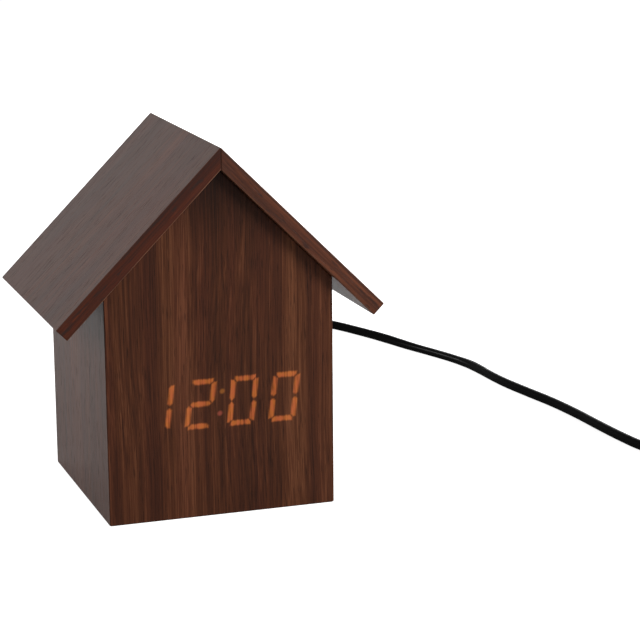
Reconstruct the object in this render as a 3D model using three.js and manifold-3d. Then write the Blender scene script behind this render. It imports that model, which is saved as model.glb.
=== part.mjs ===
// A digital alarm clock in a small wooden house. The digits glow through the front veneer.
// The controls, the battery bay and the power socket are at the back, with the lead plugged in.
// Millimetres, +Z up, front towards -Y, origin on the table under the middle of the case.

import * as THREE from "three";
import { mergeVertices } from "three/addons/utils/BufferGeometryUtils.js";
import Module from "manifold-3d";

const wasm = await Module();
wasm.setup();

// Clearances
const GAP = 0.3; // between pieces that are fitted together
const OVERRUN = 1; // how far a cutting shape runs past the face that it cuts

// Case
const BODY_DEPTH = 92;
const WALL_HEIGHT = 90; // from the table to the underside of the roof, at the outside of a wall
const BOARD = 6;
const ROOF_ANGLE = Math.PI / 4;
const ROOF_LENGTH = 91; // down the slope, on the upper face
const ROOF_OVERHANG = 5; // past the front and past the back
const SIDE_ROOM = 4.4; // from the display's mask to the inside of each side wall
const BATTEN = 12; // depth from front to back
const BATTEN_SCREW_INSET = 8; // from the base board and from the top of the batten

// Screws
const PANEL_SCREW = { head: 2.8, headHeight: 1.6, shank: 1.3, length: 13 };
const BOARD_SCREW = { head: 2.1, headHeight: 1.3, shank: 1, length: 5 };
const HOUSING_SCREW = { head: 2.1, headHeight: 1.3, shank: 1, length: 6.5 };
const DRIVE_SLOT = 0.7; // width of each arm of the cross recess
const DRIVE_SPAN_SHARE = 1.15; // length of an arm, as a share of the head's radius
const DRIVE_DEPTH_SHARE = 0.6; // depth of the recess, as a share of the head's height
const SCREW_SIDES = 16;

// Display
const DIGIT_HEIGHT = 19.1;
const DIGIT_WIDTH = 10.7;
const DIGIT_PITCH = 16.7;
const DIGIT_STEPS = [-1.5, -0.5, 0.5, 1.5]; // places of the digits, in pitches from the middle
const DIGIT_LEAN_SHARE = 0.125; // sideways lean for each unit of height
const SEGMENT = 1.85; // width of a lit bar
const SEGMENT_GAP = 0.2; // from a bar's end to the mitre line between two bars
const CORNER_CUT = 0.8; // taken off the outer corners of a digit
const COLON_RADIUS = 0.95;
const COLON_SPACING = 8.6;
const COLON_SIDES = 12;
const DISPLAY_CENTRE = 44.75; // above the table
const VENEER_SKIN = 0.6; // left in front of the display
const MASK_MARGIN = 3;
const MASK_WALL = 1.2;
const POCKET_DEPTH = 1.4;
const LENS_BACKING = 0.6;
const COLON_LENS_MARGIN = 0.475;
const LENS_FIT = 0.1;
const LENS_RECESS = 0.2; // from the front of the mask to the front of a lens bar
const LED_LENGTH = 1.2;
const LED_WIDTH = 0.8;
const LED_HEIGHT = 0.4;
const CIRCUIT_BOARD = 1.6;
const DISPLAY_BOARD_INSET = 1; // from the inside of each wall
const DISPLAY_BOARD_RIM = 5.4; // above and below the mask
const CHIP = { width: 10, height: 4, depth: 1.6, x: -20, z: 6 };
const BUZZER = { radius: 6, depth: 8.5, x: 20, z: 4, sides: 24, port: 1.2, portDepth: 1.5 };
const CONNECTOR = { width: 12, height: 6, depth: 5 };
const DISPLAY_CONNECTOR_DROP = 10; // below the centre of the display
const RIBBON_WIDTH = 10;
const RIBBON_THICKNESS = 1;
const RIBBON_STEPS = 14;
const RIBBON_STRAIGHT = 4; // beside each connector
const RIBBON_SAG = 12; // below the line between the connectors

const DIGIT_CENTRES = DIGIT_STEPS.map((count) => count * DIGIT_PITCH);
const LAST_DIGIT = DIGIT_CENTRES[DIGIT_CENTRES.length - 1];
const LEAN_AT_EDGE = (DIGIT_HEIGHT / 2) * DIGIT_LEAN_SHARE;
const MASK_HALF_WIDTH = LAST_DIGIT + DIGIT_WIDTH / 2 + LEAN_AT_EDGE + MASK_MARGIN;
const MASK_HALF_HEIGHT = DIGIT_HEIGHT / 2 + MASK_MARGIN;
const INNER_HALF = MASK_HALF_WIDTH + SIDE_ROOM;
const HALF_WIDTH = INNER_HALF + BOARD;
const FRONT = -BODY_DEPTH / 2;
const PANEL_BACK = FRONT + BOARD;
const BACK = BODY_DEPTH / 2;
const REAR_INSIDE = BACK - BOARD;
const RIDGE_UNDERSIDE = roofUnderside(0);

// Control housing, a black moulding set into the rear panel
const HOUSING_BOTTOM = 11.8;
const HOUSING_WALL = 1.8;
const FLANGE = 2;
const FLANGE_LIP = 2; // past the body of the housing, at the sides and the bottom
const FLANGE_HEAD = 8; // past the body of the housing, at the top
const CONTROL_HEADROOM = 5; // inside, above the power socket
const BAY_FLOOR = 1.5;
const BAY_SILL = 4; // solid web between the controls and the batteries
const HOUSING_SCREW_REACH = 22; // from the middle to each screw
const POST_RADIUS = 1.4;
const POST_SIDES = 12;
const POST_INSET = 2.4;

// Batteries and their contacts
const CELL_RADIUS = 5.25;
const CELL_LENGTH = 44.5;
const CELL_NUB_RADIUS = 1.9;
const CELL_NUB = 0.8;
const CELL_SPACING = 0.8; // between neighbouring cells
const CELL_COUNT = 3;
const CELL_SIDES = 24;
const CONTACT = 0.4;
const CONTACT_SIZE = 8;
const CONTACT_TAIL = 1.5;
const CONTACT_TAIL_PAST = 1.8; // of the tail, behind the bay's floor
const SPRING_LENGTH = 2.6;
const SPRING_BASE = 3;
const SPRING_TIP = 1.6;
const WIRE = 0.65; // radius
const WIRE_SIDES = 8;
const WIRE_STEPS = 12;
const WIRE_REACH = 18; // from the middle to where each wire meets the control board
const WIRE_LOOP = 4; // how far a wire stands behind what it meets

// Battery door
const DOOR_LEDGE = 1.25;
const DOOR_THICKNESS = 1.7;
const DOOR_TAB_REACH = 12; // from the middle to each tab
const DOOR_TAB_WIDTH = 6;
const DOOR_TAB_THICKNESS = 1.6;
const DOOR_TAB_DROP = 2; // below the door's lower edge
const DOOR_TAB_RISE = 1.3; // above the door's lower edge
const DOOR_TAB_SWING = 3.3; // depth of the pocket that a tab turns in
const LATCH_WIDTH = 12;
const LATCH_LENGTH = 7;
const LATCH_SLOT = 0.8;
const GRIP_RIB = 0.4;
const GRIP_RIB_PITCH = 1.6;
const GRIP_RIB_COUNT = 3;

// Buttons, switch and socket, in one row
const CONTROL_SPACING = 1.2; // between the alarm switch and the socket, the widest neighbours
const CONTROL_EDGE = 0.7; // from the socket to the side of the housing
const CONTROL_LIFT = 7.4; // from the floor of the housing to the row
const BUTTON = { radius: 3.2, proud: 1.4, round: 0.5, rim: 4, rimHeight: 1.2, stem: 1.5 };
const BUTTON_SIDES = 24;
const SWITCH_SIZE = 6;
const SWITCH_DEPTH = 3.5;
const SWITCH_WELL = 2.4;
const SWITCH_TRAVEL_ROOM = 1;
const ALARM_SWITCH = { width: 8.6, height: 3.6, depth: 3.6, well: 2.2 };
const KNOB = { width: 2, height: 1.6, proud: 0.9, travel: 2 };
const SOCKET = { size: 9, nose: 3, spare: 0.5, back: 0.3, pin: 0.5, pinSeat: 1.2, pinProud: 1.5 };
const ROUND_SIDES = 24;

// Plug in the socket
const BARREL = { radius: 1.75, bore: 0.8, insertion: 8, root: 4 };
const PLUG_GRIP = { radius: 3.7, length: 17.7, round: 0.8, neck: 2.9 };
const RELIEF = { start: 2.8, end: 2.45, length: 12, ribs: 5, groove: 0.5 };

// Cord, a flat twin flex that stands on its edge along the table
const CORD_WIDTH = 4.4;
const CORD_THICKNESS = 2.2;
const CORD_SHOULDER_SHARE = 0.6; // height of the section's upright sides, as a share of its width
const CORD_CROWN_SHARE = 0.4; // thickness at the top and bottom, as a share of the thickness
const CORD_STEPS = 58;

// The lead's centre line from the plug to the coil, chosen by hand
const CORD_ROUTE = [
  [20, 78.3, 21],
  [20, 82.3, 21],
  [20, 87, 20.9],
  [20, 98, 18.2],
  [20.2, 112, 11.2],
  [20.8, 127, 4.9],
  [22, 141, 2.5],
  [25, 160, 2.3],
  [33, 190, 2.3],
  [46, 219, 2.3],
  [66, 243, 2.3],
  [90, 256, 2.3],
  [114, 256, 2.3],
  [131, 246, 2.3],
  [141.2, 230.9, 2.3],
  [149.1, 212.5, 2.3],
  [156, 194, 2.3],
  [161.7, 177.2, 2.3],
  [168, 159.8, 2.3],
  [173.2, 143.2, 2.3],
  [175.4, 131, 2.3],
  [176, 118.6, 2.3],
  [176.3, 104.9, 2.3],
  [177.4, 91, 2.3],
  [180.2, 72.1, 2.3],
  [183.4, 52.1, 2.3],
  [185.3, 31.5, 2.3],
  [186.3, 8.9, 2.3],
  [187.5, -9.8, 2.3],
  [189.1, -24, 2.4],
  [190.4, -33, 3.3],
  [191.6, -42, 5.1],
  [192.5, -51, 7.1],
  [192.9, -58, 7.8],
  [193, -63.7, 7.9],
  [193, -68, 7.9],
];

// Coil of the rest of the cord, wound in on the upper layer and out again on the lower one
const COIL_RADIUS = 22; // centre line at mid-turn
const TURN_SPACING = 0.6; // between the turns of a layer
const LAYER_SPACING = 0.5; // between the layers
const TURNS_IN = 2;
const TURNS_OUT = 2.5;
const LAYER_CHANGE_TURNS = 0.5; // how much of a turn the step from layer to layer takes
const STEPS_PER_TURN = 24;
const TAIL_RISE_LENGTH = 14; // from the last turn to the straight end at the plug
const TAIL_STEPS = 4;
const TIE_THICKNESS = 0.5;
const TIE_WIDTH = 5;
const TIE_SLACK = 0.6; // inside the innermost turn, which curves away under the tie
const TIE_TURN_SHARE = 0.25; // place of the tie, in turns after the cord enters the coil
const SIDE_SAMPLE_SHARES = [0, 0.25, 0.5, 0.75]; // points on each side of the section, for the gap

// Plug on the far end
const USB_GRIP = { width: 15, thickness: 8, length: 20, corner: 1.5 };
const USB_SHELL = { width: 12, thickness: 4.5, length: 18.5, wall: 0.3, floor: 0.5 };
const USB_TONGUE = { thickness: 1.9, length: 16 };

// Materials
const VENEER = matte(0x47291d, 0.45);
const VENEER_ROOF = matte(0x54342a, 0.45);
const RAW_BOARD = matte(0x8a6a4c, 0.9);
const BLACK_PLASTIC = matte(0x141414, 0.5);
const BLACK_FLEX = matte(0x0c0c0c, 0.55);
const SWITCH_PLASTIC = matte(0x1c1c1c, 0.6);
const AMBER_LENS = matte(0xb25c26, 0.4);
const CIRCUIT_GREEN = matte(0x1d4a2c, 0.6);
const CREAM_NYLON = matte(0xd9d2bd, 0.6);
const RIBBON_GREY = matte(0x8d8f92, 0.6);
const RED_WIRE = matte(0xa3201c, 0.5);
const CELL_JACKET = matte(0x3d4f5c, 0.4);
const STEEL = metal(0xa8a8a6, 0.35);
const DARK_STEEL = metal(0x3a3a3a, 0.45);
const NICKEL = metal(0xc4c2bb, 0.25);

function matte(color, roughness) {
  return new THREE.MeshStandardMaterial({ color, roughness, metalness: 0 });
}

function metal(color, roughness) {
  return new THREE.MeshStandardMaterial({ color, roughness, metalness: 1 });
}

function roofUnderside(x) {
  return WALL_HEIGHT + (HALF_WIDTH - Math.abs(x)) * Math.tan(ROOF_ANGLE);
}

// Shapes. An outline is a list of [a, b] points, and each extrusion says which axes they lie on.
function extrude(outline, depth, holes = []) {
  const shape = new THREE.Shape(outline.map(([a, b]) => new THREE.Vector2(a, b)));
  shape.holes = holes.map((hole) => new THREE.Path(hole.map(([a, b]) => new THREE.Vector2(a, b))));
  return new THREE.ExtrudeGeometry(shape, { depth, bevelEnabled: false });
}

function axes(first, second, third) {
  return new THREE.Matrix4().makeBasis(
    new THREE.Vector3(...first),
    new THREE.Vector3(...second),
    new THREE.Vector3(...third),
  );
}

const XZ_ALONG_Y = axes([1, 0, 0], [0, 0, 1], [0, -1, 0]);
const YZ_ALONG_X = axes([0, 1, 0], [0, 0, 1], [1, 0, 0]);
const Y_TO_X = axes([0, 1, 0], [1, 0, 0], [0, 0, -1]);

function extrudeY(outline, y0, y1, holes) {
  return extrude(outline, y1 - y0, holes).applyMatrix4(XZ_ALONG_Y).translate(0, y1, 0);
}

function extrudeX(outline, x0, x1) {
  return extrude(outline, x1 - x0).applyMatrix4(YZ_ALONG_X).translate(x0, 0, 0);
}

function extrudeZ(outline, z0, z1) {
  return extrude(outline, z1 - z0).translate(0, 0, z0);
}

function rectangle(a0, a1, b0, b1) {
  return [
    [a0, b0],
    [a1, b0],
    [a1, b1],
    [a0, b1],
  ];
}

function box(x0, x1, y0, y1, z0, z1) {
  return extrudeY(rectangle(x0, x1, z0, z1), y0, y1);
}

// A turned piece about the Y axis, from a list of [radius, y] points that starts at its -Y end.
function turned(profile, sides = ROUND_SIDES) {
  return new THREE.LatheGeometry(
    profile.map(([radius, y]) => new THREE.Vector2(radius, y)),
    sides,
  );
}

function cylinder(radius, y0, y1, sides = ROUND_SIDES) {
  return turned(
    [
      [0, y0],
      [radius, y0],
      [radius, y1],
      [0, y1],
    ],
    sides,
  );
}

function circle(radius, sides, a = 0, b = 0) {
  return Array.from({ length: sides }, (_, i) => {
    const angle = (i / sides) * 2 * Math.PI;
    return [a + radius * Math.cos(angle), b + radius * Math.sin(angle)];
  });
}

// Joining and cutting
function solid(geometry) {
  const bare = geometry.clone();
  bare.deleteAttribute("normal");
  bare.deleteAttribute("uv");
  const merged = mergeVertices(bare);
  return new wasm.Manifold(
    new wasm.Mesh({
      numProp: 3,
      vertProperties: merged.attributes.position.array,
      triVerts: new Uint32Array(merged.index.array),
    }),
  );
}

function geometryOf(made) {
  const mesh = made.getMesh();
  const indexed = new THREE.BufferGeometry();
  indexed.setAttribute("position", new THREE.BufferAttribute(mesh.vertProperties, 3));
  indexed.setIndex(new THREE.BufferAttribute(mesh.triVerts, 1));
  const flat = indexed.toNonIndexed();
  flat.computeVertexNormals();
  return flat;
}

function cut(geometry, ...tools) {
  return geometryOf(tools.reduce((body, tool) => body.subtract(solid(tool)), solid(geometry)));
}

function join(geometry, ...others) {
  return geometryOf(others.reduce((body, other) => body.add(solid(other)), solid(geometry)));
}

function common(geometry, ...others) {
  return geometryOf(others.reduce((body, other) => body.intersect(solid(other)), solid(geometry)));
}

// Placing
function piece(name, geometry, material, x = 0, y = 0, z = 0) {
  const mesh = new THREE.Mesh(geometry, material);
  mesh.name = name;
  mesh.position.set(x, y, z);
  return mesh;
}

function groupAt(x, y, z, ...pieces) {
  const group = new THREE.Group();
  group.position.set(x, y, z);
  group.add(...pieces);
  return group;
}

// A screw whose head stands on the plane y = 0, with its shank towards -Y and a cross recess.
function screw({ head, headHeight, shank, length }) {
  const body = turned(
    [
      [0, -length],
      [shank, -length + shank],
      [shank, 0],
      [head, 0],
      [head, headHeight / 2],
      [head - headHeight / 2, headHeight],
      [0, headHeight],
    ],
    SCREW_SIDES,
  );
  const arm = (head * DRIVE_SPAN_SHARE) / 2;
  const bottom = headHeight * (1 - DRIVE_DEPTH_SHARE);
  const slot = DRIVE_SLOT / 2;
  return cut(
    body,
    box(-arm, arm, bottom, headHeight + OVERRUN, -slot, slot),
    box(-slot, slot, bottom, headHeight + OVERRUN, -arm, arm),
  );
}

// A hole for a screw's shank, down from the plane y = top.
function screwHole({ shank }, x, z, y0, y1) {
  return cylinder(shank + GAP, y0, y1, SCREW_SIDES).translate(x, 0, z);
}

// Case
function frontPanel() {
  const top = RIDGE_UNDERSIDE + OVERRUN;
  const face = [
    [-HALF_WIDTH, 0],
    [HALF_WIDTH, 0],
    [HALF_WIDTH, WALL_HEIGHT],
    [0, RIDGE_UNDERSIDE],
    [-HALF_WIDTH, WALL_HEIGHT],
  ];
  const sideMitres = [
    [-HALF_WIDTH, FRONT],
    [HALF_WIDTH, FRONT],
    [INNER_HALF, PANEL_BACK],
    [-INNER_HALF, PANEL_BACK],
  ];
  const baseMitre = [
    [FRONT, 0],
    [PANEL_BACK, BOARD],
    [PANEL_BACK, top],
    [FRONT, top],
  ];
  const board = common(
    extrudeY(face, FRONT, PANEL_BACK),
    extrudeZ(sideMitres, -OVERRUN, top),
    extrudeX(baseMitre, -HALF_WIDTH - OVERRUN, HALF_WIDTH + OVERRUN),
  );
  const recess = box(
    -MASK_HALF_WIDTH - GAP,
    MASK_HALF_WIDTH + GAP,
    FRONT + VENEER_SKIN,
    PANEL_BACK + OVERRUN,
    DISPLAY_CENTRE - MASK_HALF_HEIGHT - GAP,
    DISPLAY_CENTRE + MASK_HALF_HEIGHT + GAP,
  );
  const holes = BOARD_SCREW_PLACES.map(([x, z]) =>
    screwHole(BOARD_SCREW, x, DISPLAY_CENTRE + z, PANEL_BACK - BOARD_SCREW.length, PANEL_BACK + OVERRUN),
  );
  return cut(board, recess, ...holes);
}

function wall(side) {
  const section = [
    [side * HALF_WIDTH, 0],
    [side * INNER_HALF, BOARD],
    [side * INNER_HALF, roofUnderside(INNER_HALF)],
    [side * HALF_WIDTH, WALL_HEIGHT],
  ];
  const plan = [
    [side * HALF_WIDTH, FRONT],
    [side * INNER_HALF, PANEL_BACK],
    [side * INNER_HALF, BACK],
    [side * HALF_WIDTH, BACK],
  ];
  return common(extrudeY(section, FRONT, BACK), extrudeZ(plan, -OVERRUN, RIDGE_UNDERSIDE));
}

function baseBoard() {
  const section = [
    [-HALF_WIDTH, 0],
    [HALF_WIDTH, 0],
    [INNER_HALF, BOARD],
    [-INNER_HALF, BOARD],
  ];
  const side = [
    [FRONT, 0],
    [PANEL_BACK, BOARD],
    [BACK, BOARD],
    [BACK, 0],
  ];
  return common(extrudeY(section, FRONT, BACK), extrudeX(side, -HALF_WIDTH, HALF_WIDTH));
}

function rearPanel() {
  const half = INNER_HALF - GAP;
  const slopeGap = GAP / Math.cos(ROOF_ANGLE);
  const face = [
    [-half, BOARD],
    [half, BOARD],
    [half, roofUnderside(half) - slopeGap],
    [0, RIDGE_UNDERSIDE - slopeGap],
    [-half, roofUnderside(half) - slopeGap],
  ];
  const opening = box(
    -HOUSING_HALF_WIDTH - GAP,
    HOUSING_HALF_WIDTH + GAP,
    REAR_INSIDE - OVERRUN,
    BACK + OVERRUN,
    HOUSING_BOTTOM - GAP,
    HOUSING_TOP + GAP,
  );
  const holes = [
    ...PANEL_SCREW_PLACES.map(([x, z]) =>
      screwHole(PANEL_SCREW, x, z, REAR_INSIDE - OVERRUN, BACK + OVERRUN),
    ),
    ...HOUSING_SCREW_PLACES.map(([x, z]) =>
      screwHole(HOUSING_SCREW, x, z, BACK - HOUSING_SCREW.length, BACK + OVERRUN),
    ),
  ];
  return cut(extrudeY(face, REAR_INSIDE, BACK), opening, ...holes);
}

function roofBoard(side) {
  const run = Math.cos(ROOF_ANGLE);
  const drop = Math.sin(ROOF_ANGLE);
  const ridgeTop = RIDGE_UNDERSIDE + BOARD / run;
  const eave = [ROOF_LENGTH * run, ridgeTop - ROOF_LENGTH * drop];
  const section = [
    [0, RIDGE_UNDERSIDE],
    [side * (eave[0] - BOARD * drop), eave[1] - BOARD * run],
    [side * eave[0], eave[1]],
    [0, ridgeTop],
  ];
  return extrudeY(section, FRONT - ROOF_OVERHANG, BACK + ROOF_OVERHANG);
}

// A batten fills the room between the wall and the housing.
function batten(side) {
  const x = side > 0 ? [HOUSING_HALF_WIDTH, INNER_HALF] : [-INNER_HALF, -HOUSING_HALF_WIDTH];
  const holes = PANEL_SCREW_PLACES.filter((place) => place[0] * side > 0).map(([px, pz]) =>
    screwHole(PANEL_SCREW, px, pz, BACK - PANEL_SCREW.length - GAP, REAR_INSIDE + OVERRUN),
  );
  return cut(box(...x, REAR_INSIDE - BATTEN, REAR_INSIDE, BOARD, WALL_HEIGHT), ...holes);
}

function makeCase() {
  const screws = PANEL_SCREW_PLACES.map(([x, z], i) =>
    piece("panel_screw_" + (i + 1), screw(PANEL_SCREW), STEEL, x, BACK, z),
  );
  return groupAt(
    0,
    0,
    0,
    piece("front_panel", frontPanel(), VENEER),
    piece("left_wall", wall(-1), VENEER),
    piece("right_wall", wall(1), VENEER),
    piece("base_board", baseBoard(), VENEER),
    piece("rear_panel", rearPanel(), VENEER),
    piece("roof_board_left", roofBoard(-1), VENEER_ROOF),
    piece("roof_board_right", roofBoard(1), VENEER_ROOF),
    piece("left_batten", batten(-1), RAW_BOARD),
    piece("right_batten", batten(1), RAW_BOARD),
    ...screws,
  );
}

// Display. Its group stands on the back face of the front panel, at the centre of the digits.
const MASK_DEPTH = BOARD - VENEER_SKIN - GAP;
const COLON_LENS_HALF = COLON_RADIUS + COLON_LENS_MARGIN;
const LENS_HALF_WIDTH = DIGIT_PITCH / 2 - COLON_LENS_HALF - 2 * GAP;
const LENS_HALF_HEIGHT = MASK_HALF_HEIGHT - MASK_WALL - GAP;
const DISPLAY_BOARD_HALF_WIDTH = INNER_HALF - DISPLAY_BOARD_INSET;
const DISPLAY_BOARD_HALF_HEIGHT = MASK_HALF_HEIGHT + DISPLAY_BOARD_RIM;
const RIM_MIDDLE = DISPLAY_BOARD_HALF_HEIGHT - DISPLAY_BOARD_RIM / 2;
const BOARD_SCREW_PLACES = [
  [-DISPLAY_BOARD_HALF_WIDTH + DISPLAY_BOARD_RIM / 2, RIM_MIDDLE],
  [DISPLAY_BOARD_HALF_WIDTH - DISPLAY_BOARD_RIM / 2, -RIM_MIDDLE],
];

function lean(outline, centre = 0) {
  return outline.map(([x, z]) => [centre + x + z * DIGIT_LEAN_SHARE, z]);
}

function flipX(outline) {
  return outline.map(([x, z]) => [-x, z]);
}

function flipZ(outline) {
  return outline.map(([x, z]) => [x, -z]);
}

// The seven bars of an upright digit about its centre, drawn in by inset on every side.
function segments(inset) {
  const w = DIGIT_WIDTH / 2 - inset;
  const h = DIGIT_HEIGHT / 2 - inset;
  const bar = SEGMENT - 2 * inset;
  const gap = SEGMENT_GAP + inset;
  const top = [
    [-(w - CORNER_CUT - gap), h],
    [w - CORNER_CUT - gap, h],
    [w - CORNER_CUT / 2 - gap, h - CORNER_CUT / 2],
    [w - bar - gap, h - bar],
    [-(w - bar - gap), h - bar],
    [-(w - CORNER_CUT / 2 - gap), h - CORNER_CUT / 2],
  ];
  const upperRight = [
    [w, h - CORNER_CUT - gap],
    [w - CORNER_CUT / 2, h - CORNER_CUT / 2 - gap],
    [w - bar, h - bar - gap],
    [w - bar, bar / 2 + gap],
    [w - bar / 2, gap],
    [w, bar / 2 + gap],
  ];
  const middle = [
    [-(w - bar / 2 - gap), 0],
    [-(w - bar - gap), -bar / 2],
    [w - bar - gap, -bar / 2],
    [w - bar / 2 - gap, 0],
    [w - bar - gap, bar / 2],
    [-(w - bar - gap), bar / 2],
  ];
  const lowerRight = flipZ(upperRight);
  return [top, upperRight, lowerRight, flipZ(top), flipX(lowerRight), flipX(upperRight), middle];
}

function colonDots(inset) {
  return [COLON_SPACING / 2, -COLON_SPACING / 2].map((z) =>
    circle(COLON_RADIUS - inset, COLON_SIDES, z * DIGIT_LEAN_SHARE, z),
  );
}

function displayMask() {
  const windows = DIGIT_CENTRES.flatMap((centre) => segments(0).map((bar) => lean(bar, centre)));
  const face = rectangle(-MASK_HALF_WIDTH, MASK_HALF_WIDTH, -MASK_HALF_HEIGHT, MASK_HALF_HEIGHT);
  const pocket = box(
    -MASK_HALF_WIDTH + MASK_WALL,
    MASK_HALF_WIDTH - MASK_WALL,
    -POCKET_DEPTH,
    OVERRUN,
    -MASK_HALF_HEIGHT + MASK_WALL,
    MASK_HALF_HEIGHT - MASK_WALL,
  );
  return cut(extrudeY(face, -MASK_DEPTH, 0, [...windows, ...colonDots(0)]), pocket);
}

// A clear moulding that fills the mask's windows from a common plate behind them.
function lens(outlines, halfWidth, centre) {
  const front = -MASK_DEPTH + LENS_RECESS;
  const plateBack = -POCKET_DEPTH + LENS_BACKING;
  const plate = lean(rectangle(-halfWidth, halfWidth, -LENS_HALF_HEIGHT, LENS_HALF_HEIGHT), centre);
  const bars = outlines.map((outline) => extrudeY(outline, front, plateBack - LENS_BACKING / 2));
  return join(extrudeY(plate, -POCKET_DEPTH, plateBack), ...bars);
}

function displayBoard() {
  const board = box(
    -DISPLAY_BOARD_HALF_WIDTH,
    DISPLAY_BOARD_HALF_WIDTH,
    0,
    CIRCUIT_BOARD,
    -DISPLAY_BOARD_HALF_HEIGHT,
    DISPLAY_BOARD_HALF_HEIGHT,
  );
  const places = DIGIT_CENTRES.flatMap((centre) => segments(0).map((bar) => middleOf(lean(bar, centre))));
  const chips = [...places, ...colonDots(0).map(middleOf)].map(([x, z]) =>
    box(
      x - LED_LENGTH / 2,
      x + LED_LENGTH / 2,
      -LED_HEIGHT,
      CIRCUIT_BOARD / 2,
      z - LED_WIDTH / 2,
      z + LED_WIDTH / 2,
    ),
  );
  const holes = BOARD_SCREW_PLACES.map(([x, z]) =>
    screwHole(BOARD_SCREW, x, z, -OVERRUN, CIRCUIT_BOARD + OVERRUN),
  );
  return cut(join(board, ...chips), ...holes);
}

function middleOf(outline) {
  const sum = outline.reduce(([x, z], point) => [x + point[0], z + point[1]], [0, 0]);
  return sum.map((value) => value / outline.length);
}

function connector() {
  const { width, height, depth } = CONNECTOR;
  return box(-width / 2, width / 2, 0, depth, -height / 2, height / 2);
}

function buzzer() {
  const { radius, depth, sides, port, portDepth } = BUZZER;
  return cut(
    cylinder(radius, 0, depth, sides),
    cylinder(port, depth - portDepth, depth + OVERRUN, sides),
  );
}

function makeDisplay() {
  const lenses = DIGIT_CENTRES.map((centre, i) => {
    const bars = segments(LENS_FIT).map((bar) => lean(bar, centre));
    return piece("digit_lens_" + (i + 1), lens(bars, LENS_HALF_WIDTH, centre), AMBER_LENS);
  });
  const screws = BOARD_SCREW_PLACES.map(([x, z], i) =>
    piece("board_screw_" + (i + 1), screw(BOARD_SCREW), STEEL, x, CIRCUIT_BOARD, z),
  );
  const chip = box(-CHIP.width / 2, CHIP.width / 2, 0, CHIP.depth, -CHIP.height / 2, CHIP.height / 2);
  return groupAt(
    0,
    PANEL_BACK,
    DISPLAY_CENTRE,
    piece("display_mask", displayMask(), BLACK_PLASTIC),
    ...lenses,
    piece("colon_lens", lens(colonDots(LENS_FIT), COLON_LENS_HALF, 0), AMBER_LENS),
    piece("display_board", displayBoard(), CIRCUIT_GREEN),
    ...screws,
    piece("controller_chip", chip, BLACK_PLASTIC, CHIP.x, CIRCUIT_BOARD, CHIP.z),
    piece("buzzer", buzzer(), SWITCH_PLASTIC, BUZZER.x, CIRCUIT_BOARD, BUZZER.z),
    piece("display_connector", connector(), CREAM_NYLON, 0, CIRCUIT_BOARD, -DISPLAY_CONNECTOR_DROP),
  );
}

// Control unit. Its group stands on the outer face of the rear panel, level with the table.
const CONTROL_FLOOR = HOUSING_BOTTOM + HOUSING_WALL;
const CONTROL_Z = CONTROL_FLOOR + CONTROL_LIFT;
const CONTROL_CEILING = CONTROL_Z + SOCKET.size / 2 + CONTROL_HEADROOM;
const CONTROL_PITCH = (ALARM_SWITCH.width + SOCKET.size) / 2 + CONTROL_SPACING;
const SWITCH_X = CONTROL_PITCH;
const SOCKET_X = 2 * CONTROL_PITCH;
const SOCKET_BORE = BARREL.radius + GAP;
const SOCKET_BORE_DEPTH = BARREL.insertion + SOCKET.spare;
const CONTROL_BOARD_DEPTH = SOCKET_BORE_DEPTH + SOCKET.pinSeat + SOCKET.back - FLANGE;
const BAY_BOTTOM = CONTROL_CEILING + BAY_SILL;
const CELL_PITCH = 2 * CELL_RADIUS + CELL_SPACING;
const BAY_HEIGHT = CELL_COUNT * CELL_PITCH + 2 * GAP;
const BAY_TOP = BAY_BOTTOM + BAY_HEIGHT;
const HOUSING_TOP = BAY_TOP + HOUSING_WALL + DOOR_LEDGE;
const BAY_HALF_WIDTH = CELL_LENGTH / 2 + CONTACT + SPRING_LENGTH / 2 + 2 * GAP;
const CONTROL_ROW_HALF = SOCKET_X + SOCKET.size / 2 + CONTROL_EDGE;
const HOUSING_HALF_WIDTH = Math.max(BAY_HALF_WIDTH, CONTROL_ROW_HALF) + HOUSING_WALL;
const BAY_DEPTH = 2 * CELL_RADIUS + 2 * GAP;
const CELL_Y = -GAP - CELL_RADIUS;
const CONTROL_HALF_WIDTH = HOUSING_HALF_WIDTH - HOUSING_WALL;
const CONTROL_BOARD_BACK = -CONTROL_BOARD_DEPTH - CIRCUIT_BOARD;
const BUTTON_NAMES = ["down", "up", "set"];
const BUTTON_PLACES = [-2 * CONTROL_PITCH, -CONTROL_PITCH, 0];
const SWITCH_FACE = -CONTROL_BOARD_DEPTH + SWITCH_DEPTH;
const ALARM_FACE = -CONTROL_BOARD_DEPTH + ALARM_SWITCH.depth;
const DOOR_HALF_WIDTH = BAY_HALF_WIDTH + DOOR_LEDGE - GAP;
const DOOR_BOTTOM = BAY_BOTTOM - DOOR_LEDGE + GAP;
const DOOR_TOP = BAY_TOP + DOOR_LEDGE - GAP;
const PANEL_SCREW_X = (INNER_HALF + HOUSING_HALF_WIDTH + FLANGE_LIP) / 2;
const PANEL_SCREW_PLACES = [-1, 1].flatMap((side) =>
  [BOARD + BATTEN_SCREW_INSET, WALL_HEIGHT - BATTEN_SCREW_INSET].map((z) => [side * PANEL_SCREW_X, z]),
);
const HOUSING_SCREW_PLACES = [-1, 1].map((side) => [
  side * HOUSING_SCREW_REACH,
  HOUSING_TOP + FLANGE_HEAD / 2,
]);
const POST_PLACES = [
  [-CONTROL_HALF_WIDTH + POST_INSET, CONTROL_CEILING - POST_INSET],
  [CONTROL_HALF_WIDTH - POST_INSET, CONTROL_CEILING - POST_INSET],
  [-CONTROL_PITCH / 2, CONTROL_FLOOR + POST_INSET],
];
const TAIL_X = BAY_HALF_WIDTH - GAP - CONTACT / 2;
const TAIL_END = -BAY_DEPTH - BAY_FLOOR - CONTACT_TAIL_PAST;
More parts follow.
